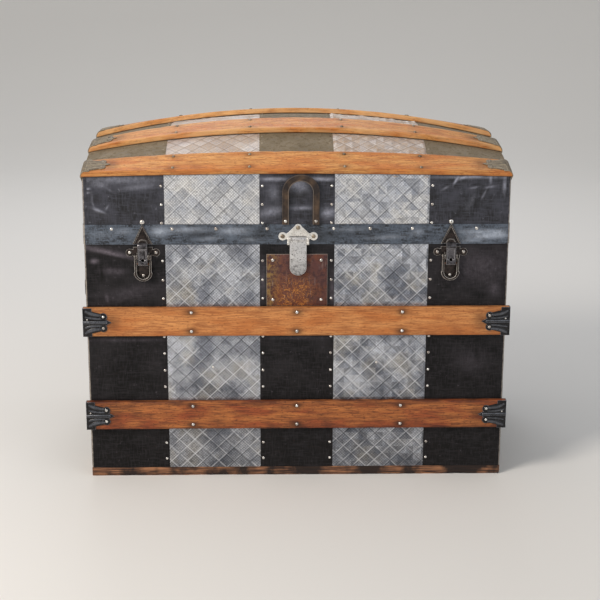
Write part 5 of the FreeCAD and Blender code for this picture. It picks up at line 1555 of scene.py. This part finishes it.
@dataclass
class NailWork:
    """Every nail head: along the sheets' edges, the band and the slats, and in the ironwork."""

    slats: list[Slat]
    edge: float = 3.1
    slat: float = 3.5
    iron: float = 3.6
    outer_column: float = 257.5
    inner_column: float = 66.0
    box_rows: tuple[float, ...] = (442, 404, 367, 290, 256, 221, 187, 70, 36.5)
    lid_rows: tuple[float, ...] = (516, 552, 588)
    dome_places: tuple[float, ...] = (-152, -126, -38, 0, 38, 126, 152)
    band_places: tuple[float, ...] = (-353, -238, -154.5, -57, 70, 139.5, 220.5, 343.5)
    band_row: float = 505.0
    # Radius and height of the rings of a low domed head, for a radius of 1 mm
    head: Pairs = (
        (0, -0.3), (1, -0.3), (1, 0.06), (0.9, 0.26), (0.62, 0.48), (0.3, 0.58), (0, 0.62)
    )
    knob: float = 5.3
    hasp_head: float = 4.8
    knob_x: float = 294.5
    knob_z: float = 518.5
    foot_rise: float = 9.0
    back_inset: float = 14.0
    spread: float = 0.14
    lobe: tuple[float, float] = (38.0, 11.5)
    tab: tuple[float, float] = (13.0, 8.0)
    hinges: tuple[float, ...] = (-290, 0, 290)
    hinge_room: float = 34.0

    def columns(self) -> list[float]:
        """Distances from the middle of the four columns of edge nails."""
        return [side * column for side in (-1, 1) for column in (self.outer_column, self.inner_column)]

    def box_marks(self) -> list[Mark]:
        """Nails along the upright edges of the box's sheets, and along its back corners."""
        half, end, foot = FORM.depth / 2, FORM.length / 2, FORM.floor_board + self.foot_rise
        spots = [(x, -half, z, (0, -1, 0)) for x in self.columns() for z in self.box_rows]
        for side in (-1, 1):
            spots += [(side * end, half - self.back_inset, z, (side, 0, 0)) for z in self.box_rows]
            spots += [(side * end, y, foot, (side, 0, 0)) for y in evenly(-200, 200, 66)]
        spots += [(x, half, foot, (0, 1, 0)) for x in evenly(-370, 370, 74)]
        # Two single nails hold the tin where it lifted
        spots += [(-163.5, -half - 0.4, 228, (0, -1, 0)), (156, -half - 0.9, 236, (0, -1, 0))]
        return [Mark(Vector(place), Vector(aim), self.edge) for *place, aim in spots]

    def lid_marks(self) -> list[Mark]:
        """Nails along the edges of the lid's strips, up the walls and over the dome, and in the band."""
        half, end, band = FORM.depth / 2, FORM.length / 2, FORM.band
        spots = []
        for x in self.columns():
            spots += [(x, side * half, z, (0, side, 0), self.edge) for side in (-1, 1) for z in self.lid_rows]
            for y in self.dome_places:
                tilt = FORM.tilt(x, y)
                spots.append((x, y, FORM.dome(x, y), (0, -math.sin(tilt), math.cos(tilt)), self.edge * 0.85))
        for x in self.band_places:
            spots.append((x, -half - band, self.band_row, (0, -1, 0), self.iron))
            if min(abs(x - hinge) for hinge in self.hinges) >= self.hinge_room:
                spots.append((x, half + band, self.band_row, (0, 1, 0), self.iron))
        for side in (-1, 1):
            aim = (side, 0, 0)
            spots += [(side * (end + band), y, self.band_row, aim, self.edge) for y in (-205, -110, 0, 110, 205)]
            spots += [(side * end, y, z, aim, self.edge) for y in (-222, 222) for z in (530, 565)]
        return [Mark(Vector(place), Vector(aim), size) for *place, aim, size in spots]

    def clamp_marks(self, slat: Slat) -> list[Mark]:
        """Two nails in a clamp's lobes, one near its end and two in the tab on the trunk's end."""
        marks = []
        corner = 7.0 + slat.rounding
        for side in (-1, 1):
            reach, spread = self.lobe
            for reach, across, size in ((reach, spread, 1.0), (reach, -spread, 1.0), (corner, 6.0, 0.7)):
                x = side * (slat.end - reach)
                marks.append(Mark(slat.point(x, across, slat.top + 0.6), slat.frame(x)[2], self.iron * size))
            drop, spread = self.tab
            for across in (spread, -spread):
                place = slat.point(side * slat.end, across, -drop)
                place.x = side * (FORM.length / 2 + 1.6)
                marks.append(Mark(place, Vector((side, 0, 0)), self.iron * 0.8))
        return marks

    def off_slats(self, place: Vector) -> bool:
        """Whether a head is not one of those on a slat."""
        for slat in self.slats:
            foot, across, out = slat.frame(place.x)
            away = place - foot
            if abs(away.dot(across)) < slat.width / 2 and abs(away.dot(out) - slat.top) < 1.5:
                return False
        return True

    def node_marks(self, node: str) -> list[Mark]:
        """One mark on each of the heads that a node already holds, apart from those on slats."""
        copy = bmesh.new()
        copy.from_mesh(frame["nodes"][node].data)
        bmesh.ops.remove_doubles(copy, verts=copy.verts, dist=0.01 * MM)
        marks, seen = [], set()
        for vert in copy.verts:
            if vert in seen:
                continue
            group, queue = {vert}, [vert]
            while queue:
                for edge in queue.pop().link_edges:
                    for other in set(edge.verts) - group:
                        group.add(other)
                        queue.append(other)
            seen |= group
            spots = [v.co for v in group]
            middle = sum(spots, Vector()) / len(spots)
            aim = self.head_aim(spots, middle)
            place = (middle + aim * min((spot - middle).dot(aim) for spot in spots)) / MM
            if self.off_slats(place):
                marks.append(Mark(place, aim, self.iron))
        copy.free()
        return marks

    def head_aim(self, points: list[Vector], middle: Vector) -> Vector:
        """Which way a head with these corners looks: along its shortest extent, towards its smaller face."""
        away = [point - middle for point in points]
        spread = Matrix([[sum(d[i] * d[j] for d in away) for j in range(3)] for i in range(3)])
        axis = Vector((0.31, -0.77, 0.55)).normalized()
        inverse = (spread + Matrix.Identity(3) * 1e-12).inverted()
        for _ in range(24):
            axis = (inverse @ axis).normalized()
        top, bottom = [
            [(d - axis * d.dot(axis)).length for d in away if (d.dot(axis) > 0) == upper] for upper in (True, False)
        ]
        return axis if sum(top) / len(top) < sum(bottom) / len(bottom) else -axis

    def slat_marks(self, bent: bool) -> list[Mark]:
        """Marks for the nails of the bent or the straight slats and of their clamps."""
        slats = [slat for slat in self.slats if slat.bent == bent]
        return [mark for slat in slats for mark in slat.nail_marks(self.slat) + self.clamp_marks(slat)]

    def build(self) -> None:
        """Sets all the heads: those of the box bright, and those of the lid as bright and dull ones."""
        head = turned("nail_head_shape", self.head, 10)
        tree = ScatterTree()
        front = -FORM.depth / 2 - FORM.band
        box_marks = self.box_marks() + self.node_marks("base_nails") + self.slat_marks(bent=False)
        seat(tree.scatter("box_nail_heads", box_marks, head, NAILS, self.spread), NAILS, "base_nails")
        lid_marks = self.lid_marks() + self.node_marks("lid_nails")
        dome = [mark for mark in lid_marks if mark.aim.z > 0.5]
        lid_marks = [mark for mark in lid_marks if mark not in dome]
        hasp = [m for m in lid_marks if abs(m.place.x) < 40 and m.place.y < front - 1.5 and m.place.z < 520]
        lid_marks = [Mark(m.place, m.aim, self.iron * 0.6) if m in hasp else m for m in lid_marks]
        # A bright knob tops each catch's keeper
        for x in (-self.knob_x, self.knob_x):
            lid_marks.append(Mark(Vector((x, front - 0.5, self.knob_z)), Vector((0, -1, 0)), self.knob))
        seat(tree.scatter("lid_nail_heads", lid_marks, head, NAILS, self.spread), NAILS, "lid_nails")
        dull_marks = dome + [Mark(mark.place - mark.aim * 0.6, mark.aim, self.hasp_head) for mark in hasp]
        dull_marks += self.slat_marks(bent=True)
        dull = tree.scatter("lid_slat_nail_heads", dull_marks, head, DULL_NAILS, self.spread)
        seat(dull, DULL_NAILS, body="lid", slot="nail_steel")
        bpy.data.objects.remove(head)


# ---- Ironwork


@dataclass(frozen=True)
class ClampPetals:
    """The raised petals that fan out over each slat clamp, from its corner to its two lobes."""

    slats: list[Slat]
    plate: float = 0.8
    start: float = 3.0
    reach: float = 35.0
    steps: int = 9
    # Place across the slat where a petal starts and ends, its width and its height there
    petals: tuple[tuple[float, float, float, float], ...] = (
        (22.5, 14.0, 11.0, 2.0), (11.0, 7.0, 7.0, 2.0), (-11.0, -7.0, 7.0, 2.0), (-22.5, -14.0, 11.0, 2.0)
    )

    def petal(self, slat: Slat, side: int, sizes: Sequence[float]) -> Piece:
        """Sweeps one petal, which narrows to its tips.

        Args:
            slat: the slat under its clamp.
            side: -1 for the left end and 1 for the right.
            sizes: its row of sizes.

        Returns:
            The petal as an object.
        """
        start, end, width, height = sizes
        low = self.start + slat.rounding
        shares = [i / self.steps for i in range(self.steps + 1)]
        places = []
        for share in shares:
            x = side * (slat.end - low - (self.reach - low) * share)
            across = start + (end - start) * (1 - (1 - share) ** 2.4)
            places.append((slat.point(x, across, slat.top + self.plate - 0.1), slat.frame(x)[2]))
        frames = []
        for i, (place, out) in enumerate(places):
            along = places[min(i + 1, self.steps)][0] - places[max(i - 1, 0)][0]
            frames.append((place, along.cross(out).normalized(), out))
        section = [(math.cos(math.pi * j / 6), math.sin(math.pi * j / 6)) for j in range(7)]

        def tapered(i: int, j: int, point: Vector) -> Vector:
            place, across, out = frames[i]
            swell = 0.45 + 0.55 * math.sin(math.pi * (0.15 + 0.75 * shares[i]))
            a, o = section[j]
            return place + across * (a * swell * width / 2) + out * (o * swell * height)

        return swept_bar("petal", frames, section, tapered)

    def build(self) -> None:
        """Builds the petals of the front, the back and the lid, one object each."""
        black = "box", CLAMP_BLACK
        for name, (body, finish) in {"front": black, "back": black, "lid": ("lid", CLAMP_DUSTY)}.items():
            shape = bmesh.new()
            for slat in [slat for slat in self.slats if slat.node.startswith(name)]:
                for side, petal in [(side, petal) for side in (-1, 1) for petal in self.petals]:
                    piece = self.petal(slat, side, petal)
                    shape.from_mesh(piece.data)
                    bpy.data.objects.remove(piece)
            mesh = bpy.data.meshes.new(name + "_clamp_petals")
            shape.to_mesh(mesh)
            shape.free()
            # The top of each petal takes the bright edge colour, a painted highlight along its ridge
            add_layer(mesh, "edge", "FLOAT", [0.4 if i % 7 in (3, 4) else 0.0 for i in range(len(mesh.vertices))])
            smooth_by_angle(mesh, 50)
            seat(link_object(mesh), finish, body=body, slot="japanned_clamp")


@dataclass
class IronWork:
    """Clamps, hasp, lock plate, catches, hinges and handle caps."""

    # Each row's finish, how far its edges are eased and in how many steps, and its nodes
    rows: tuple[tuple[WornMetal, float, int, tuple[str, ...]], ...] = (
        (CLAMP_BLACK, 0.4, 2, ("front_slat_clamps", "back_slat_clamps")),
        (CLAMP_DUSTY, 0.4, 2, ("lid_slat_clamps",)),
        (LOCK_IRON, 0.45, 2, ("lock_plate",)),
        (NICKEL, 0.4, 2, ("hasp_plate",)),
        (PIN_STEEL, 0.3, 2, ("hasp_pin",)),
        (TONGUE_NICKEL, 0.5, 2, ("hasp_tongue",)),
        (CATCH_STEEL, 0.35, 2, ("catch_keepers", "catch_base_plates")),
        (PIN_STEEL, 0.3, 2, ("catch_lever_pins",)),
        (CATCH_STEEL, 0.7, 3, ("left_catch_lever", "right_catch_lever")),
        (HOOK_STEEL, 0.35, 2, ("left_catch_hook", "right_catch_hook")),
        (PIN_STEEL, 0.2, 2, ("left_catch_hook_pin", "right_catch_hook_pin")),
        (CAST_IRON, 0.6, 3, ("handle_caps",)),
        (CAST_IRON, 0.3, 2, ("hinge_box_leaves", "hinge_lid_leaves")),
        (PIN_STEEL, 0.3, 2, ("hinge_pins",)),
    )

    sharp: float = 28.0

    def eased(self, node: str, ease: float, segments: int) -> Piece:
        """Merges a node's triangles, eases its edges as a casting's or a stamping's are and marks them for the finish's
        bright edge colour, which on worn metal is partly wear and partly a painted highlight.

        Args:
            node: the node.
            ease: how far its edges are eased.
            segments: in how many steps.

        Returns:
            The eased piece.
        """
        shape = bmesh.new()
        shape.from_mesh(frame["nodes"][node].data)
        bmesh.ops.remove_doubles(shape, verts=shape.verts, dist=0.002 * MM)
        bmesh.ops.dissolve_limit(shape, angle_limit=math.radians(1.2), verts=shape.verts, edges=shape.edges)
        limit = math.radians(self.sharp)
        edges = [edge for edge in shape.edges if len(edge.link_faces) == 2 and edge.calc_face_angle(0) > limit]
        # The eased faces take the bright edge colour
        worn = shape.faces.layers.float.new("edge")
        how = {"segments": segments, "profile": 0.5, "affect": "EDGES", "clamp_overlap": False}
        for face in bmesh.ops.bevel(shape, geom=edges, offset=ease * MM, **how)["faces"]:
            face[worn] = 1.0
        mesh = bpy.data.meshes.new(node + "_iron")
        shape.to_mesh(mesh)
        shape.free()
        smooth_by_angle(mesh, 32)
        return link_object(mesh)

    def build(self) -> None:
        """Builds every piece of ironwork."""
        for finish, ease, segments, nodes in self.rows:
            for node in nodes:
                seat(self.eased(node, ease, segments), finish, node)


# ---- Leather


@dataclass
class PullLoop:
    """Arched leather loop on the lid's front, with a raised welt along its inner edge."""

    x: float = 7.0
    width: float = 71.0
    height: float = 99.0
    strap: float = 13.0
    leather: float = 4.0
    lean: float = 6.4
    gap: float = 0.3
    foot_gap: float = 0.4
    arch_steps: int = 40
    leg_step: float = 3.0

    def build(self) -> Piece:
        """Sweeps the strap up one leg, round the arch and down the other."""
        middle = self.width / 2 - self.strap / 2
        foot = FORM.lid_base + FORM.band_height + self.foot_gap
        spring = self.height - self.width / 2
        lean = math.radians(self.lean)
        up = Vector((0, -math.sin(lean), math.cos(lean)))
        out = Vector((0, -math.cos(lean), -math.sin(lean)))
        origin = Vector((self.x, -FORM.depth / 2 - self.gap, foot))
        right = Vector((1, 0, 0))
        legs = evenly(0, spring, self.leg_step)[:-1]
        path = [(-middle, rise, math.pi) for rise in legs]
        for step in range(self.arch_steps + 1):
            turn = math.pi * (1 - step / self.arch_steps)
            path.append((middle * math.cos(turn), spring + middle * math.sin(turn), turn))
        path += [(middle, rise, 0.0) for rise in legs[::-1]]
        frames = [
            (origin + right * across + up * rise, right * math.cos(turn) + up * math.sin(turn), out)
            for across, rise, turn in path
        ]
        half, thick = self.strap / 2, self.leather
        # Round the strap from its back, with the welt along its inner edge
        section = [(-half, 0.4), (half, 0.4), (half + 0.1, thick * 0.5), (half - 0.5, thick * 0.85)]
        section += [(half - 1.4, thick * 0.96), (half * 0.4, thick * 0.9), (0.0, thick * 0.86)]
        section += [(-half * 0.4, thick * 0.88), (2.4 - half, thick * 0.8), (1.9 - half, thick)]
        section += [(1.0 - half, thick * 1.08), (0.3 - half, thick), (-half, thick * 0.75)]

        def creased(i: int, _: int, point: Vector) -> Vector:
            return point + out * 0.25 * noise.noise(Vector((i / 4.0, 3.1, 0)))

        loop = swept_bar("leather_loop_strap", frames, section, creased)
        rims = [0.6 if j == 10 else 0.2 if j in (3, 9) else 0.0 for j in range(len(section))]
        add_layer(loop.data, "rim", "FLOAT", rims * len(frames))
        smooth_by_angle(loop.data, 50)
        return seat(loop, STRAP_LEATHER, "leather_loop")


@dataclass
class EndHandles:
    """Stitched leather straps between their cast caps."""

    height: float = 330.0
    span: float = 170.0
    width: float = 27.0
    leather: float = 6.0
    bow: float = 22.0
    tab: float = 26.0
    flange: float = 2.0
    stitch_inset: float = 4.0
    stitch_pitch: float = 5.0
    # Radius and height of the rings of one stitch, a short thread that lies along its own Z
    stitch: Pairs = ((0, -1.7), (0.4, -1.5), (0.55, -0.8), (0.55, 0.8), (0.4, 1.5), (0, 1.7))
    shrink: float = 0.15

    def path(self) -> list[tuple[Vector, Vector]]:
        """Centre line of the right-hand strap from front to back, with its outward direction."""
        near = FORM.length / 2 + self.flange + self.leather / 2
        bend = self.span / 2
        radius = (bend**2 + self.bow**2) / (2 * self.bow)
        reach = math.asin(bend / radius)
        low, high = [
            [(Vector((near, y, self.height)), Vector((1, 0, 0))) for y in evenly(start, end, 4)]
            for start, end in ((-bend - self.tab, -bend - 2), (bend + 2, bend + self.tab))
        ]
        arc = []
        for turn in evenly(-reach, reach, 0.03):
            out = Vector((math.cos(turn), math.sin(turn), 0))
            arc.append((Vector((near + self.bow - radius, 0, self.height)) + out * radius, out))
        return low + arc + high

    def build(self) -> None:
        """Builds both straps and their stitches."""
        stitch = turned("stitch_shape", self.stitch, 5)
        tree = ScatterTree()
        half = self.width / 2 - self.shrink
        section = rounded_section(2 * half, -self.leather / 2 + self.shrink, self.leather / 2 - self.shrink, 1.6, 8)
        for side, name in ((-1, "left_handle"), (1, "right_handle")):
            frames = [
                (Vector((side * at.x, at.y, at.z)), Vector((0, 0, 1)), Vector((side * out.x, out.y, 0)))
                for at, out in self.path()
            ]
            strap = swept_bar(name + "_strap", frames, section)
            rims = [0.7 if abs(a) > half - 1.2 else 0.0 for a, _ in section]
            add_layer(strap.data, "rim", "FLOAT", rims * len(frames))
            smooth_by_angle(strap.data, 50)
            seat(strap, STRAP_LEATHER, name)
            stitches = tree.scatter(name + "_stitches", self.stitch_marks(frames), stitch, STITCH_THREAD)
            seat(stitches, STITCH_THREAD, body="box", slot="harness_leather")
        bpy.data.objects.remove(stitch)

    def stitch_marks(self, frames: Frames) -> list[Mark]:
        """Marks along both edges of a strap's bowed part."""
        marks, travelled = [], 0.0
        for (centre, up, out), (following, _, _) in zip(frames, frames[1:]):
            step = (following - centre).length
            travelled += step
            if travelled < self.stitch_pitch or abs(centre.y) > self.span / 2 - 4:
                continue
            travelled = 0.0
            for edge in (-1, 1):
                across = edge * (self.width / 2 - self.stitch_inset)
                place = centre + up * across + out * (self.leather / 2 - 0.62)
                marks.append(Mark(place, (following - centre).normalized(), 1.0))
        return marks


# ---- Woodwork and lining that keep their nodes


@dataclass
class BottomBoard:
    """The board under the box, whose bare edge is scuffed and splintered all round."""

    thickness: float = 18.0
    pitch: float = 4.0
    rows: int = 6
    scuff: float = 2.2

    def build(self) -> Piece:
        """Builds the board with its edge worn inwards from the node's size."""
        half_x, half_y = FORM.length / 2, FORM.depth / 2
        xs, ys = evenly(-half_x, half_x, self.pitch), evenly(-half_y, half_y, self.pitch)
        outline = [(x, -half_y, (0, -1, 0)) for x in xs[:-1]]
        outline += [(half_x, y, (1, 0, 0)) for y in ys[:-1]]
        outline += [(x, half_y, (0, 1, 0)) for x in xs[:0:-1]]
        outline += [(-half_x, y, (-1, 0, 0)) for y in ys[:0:-1]]
        points: list[Vector] = []
        for row in range(self.rows + 1):
            share = row / self.rows
            low_wear = (1 - share) ** 2
            for x, y, out in outline:
                spot = Vector((x / 38, y / 38, share * 1.2))
                chip = max(0.0, noise.noise(spot) - 0.05) + 0.35 * abs(noise.noise(spot * 4))
                lift = max(0.0, noise.noise(spot * 1.7 + Vector((9, 0, 0)))) * 5 * low_wear if 0 < share < 1 else 0.0
                depth = self.scuff * chip * (0.35 + low_wear) + (0.25 if row else 1.6)
                points.append(Vector((x, y, share * self.thickness + lift * 0.3)) - Vector(out) * depth)
        ring = len(outline)
        faces = quads(self.rows + 1, ring)
        faces += [tuple(range(ring - 1, -1, -1)), tuple(self.rows * ring + c for c in range(ring))]
        board = link_object(new_mesh("bottom_board", points, faces))
        smooth_by_angle(board.data, 50)
        return seat(board, WORN_PINE, "base_bottom_board")


@dataclass
class PlainPieces:
    """Pieces whose nodes have the right shape and only take a finish."""

    pine: tuple[str, ...] = (
        *(f"{part}_{side}_board" for part in ("base", "lid") for side in ("front", "back", "left_end", "right_end")),
        "lid_staves",
        "tray_cleats",
    )
    paper: tuple[str, ...] = ("base_lining", "lid_lining")
    sheet: tuple[str, ...] = ("lid_end_covers",)

    def build(self) -> None:
        """Gives each node its finish."""
        for nodes, finish in ((self.pine, PINE), (self.paper, PAPER), (self.sheet, LID_SHEET)):
            for name in nodes:
                node = frame["nodes"][name]
                if not node.material_slots:
                    node.data.materials.append(finish.material())
                for place in node.material_slots:
                    place.material = finish.material()
            LOG.info("%s: %s", finish.title, ", ".join(nodes))


# ---- Stage


@dataclass
class Studio:
    """Pale floor, soft light and the camera."""

    focal: float = 1494.0
    picture: float = 600.0
    sensor: float = 36.0
    eye: Triple = (-58.0, -3018.0, 1157.0)
    pitch: float = 15.95
    yaw: float = 1.32
    roll: float = -0.16
    floor_colour: str = "#e9e7e3"
    world_colour: str = "#f4f5f7"
    world_strength: float = 0.5

    def camera(self) -> None:
        """Sets the camera at the chosen place and angle."""
        pitch, yaw, roll = (math.radians(angle) for angle in (self.pitch, self.yaw, self.roll))
        forward = Vector((math.sin(yaw) * math.cos(pitch), math.cos(yaw) * math.cos(pitch), -math.sin(pitch)))
        level = Vector((math.cos(yaw), -math.sin(yaw), 0))
        down = forward.cross(level)
        right = level * math.cos(roll) + down * math.sin(roll)
        down = down * math.cos(roll) - level * math.sin(roll)
        lens = bpy.data.cameras.new("camera")
        lens.sensor_width = self.sensor
        lens.lens = self.focal * self.sensor / self.picture
        camera = link_object(lens)
        turn = Matrix((right, -down, -forward)).transposed().to_4x4()
        camera.matrix_world = Matrix.Translation(Vector(self.eye) * MM) @ turn
        bpy.context.scene.camera = camera

    def lamp(self, name: str, place: Triple, size: float, watts: float, colour: str) -> None:
        """Hangs one square soft light that looks at the trunk.

        Args:
            name: its name.
            place: in metres.
            size: its side in metres.
            watts: its strength.
            colour: its colour.
        """
        light = bpy.data.lights.new(name, "AREA")
        light.size = size
        light.energy = watts
        light.color = linear(colour)[:3]
        lamp = link_object(light)
        lamp.location = place
        lamp.rotation_mode = "QUATERNION"
        lamp.rotation_quaternion = (Vector((0, 0, 0.4)) - Vector(place)).to_track_quat("-Z", "Y")

    def surroundings(self) -> None:
        """Builds the floor, its curved backdrop and the sky."""
        bend = [(-40.0, 0.0), (3.0, 0.0)]
        bend += [(3.0 + 2 * math.sin(t), 2 - 2 * math.cos(t)) for t in evenly(0, math.pi / 2, 0.2)[1:]]
        bend.append((5.0, 7.0))
        points = [Vector((x, y, z)) / MM for y, z in bend for x in (-40, 40)]
        mesh = new_mesh("floor", points, quads(len(bend), 2, closed=False))
        floor = link_object(mesh)
        mesh.shade_smooth()
        material = bpy.data.materials.new("matt studio paper")
        material.use_nodes = True
        material.node_tree.nodes.clear()
        add = partial(add_node, material.node_tree)
        place = add("TexCoord").outputs["Object"]
        fibre = add("TexNoise", {"Vector": place, "Scale": every(25), "Detail": 4.0})
        bump = add("Bump", {"Strength": 0.05, "Distance": 0.3 * MM, "Height": fibre})
        shader = add("BsdfPrincipled", {"Base Color": self.floor_colour, "Roughness": 0.9, "Normal": bump})
        add("OutputMaterial", {"Surface": shader})
        mesh.materials.append(material)
        world = bpy.data.worlds.new("studio")
        world.use_nodes = True
        world.node_tree.nodes.clear()
        sockets = {"Color": self.world_colour, "Strength": self.world_strength}
        sky = add_node(world.node_tree, "Background", sockets)
        add_node(world.node_tree, "OutputWorld", {"Surface": sky})
        bpy.context.scene.world = world

    def build(self) -> None:
        """Sets up everything round the trunk."""
        self.camera()
        self.surroundings()
        self.lamp("key", (-1.9, -1.8, 2.3), 1.0, 62.0, "#fff6ec")
        self.lamp("fill", (2.2, -2.6, 1.3), 1.8, 9.0, "#f2f6ff")
        self.lamp("back", (-0.2, 2.4, 2.6), 1.6, 26.0, "#f4f7ff")
        bpy.context.scene.view_settings.view_transform = "Standard"


def main() -> None:
    """Builds the trunk's pieces in order and reports each one."""
    logging.basicConfig(level=logging.INFO, format="%(name)s %(message)s")
    Studio().build()
    slats = SlatWork().build()
    SheetWork().build()
    NailWork(slats).build()
    IronWork().build()
    ClampPetals(slats).build()
    PullLoop().build()
    EndHandles().build()
    BottomBoard().build()
    PlainPieces().build()


if __name__ == "__main__":
    main()
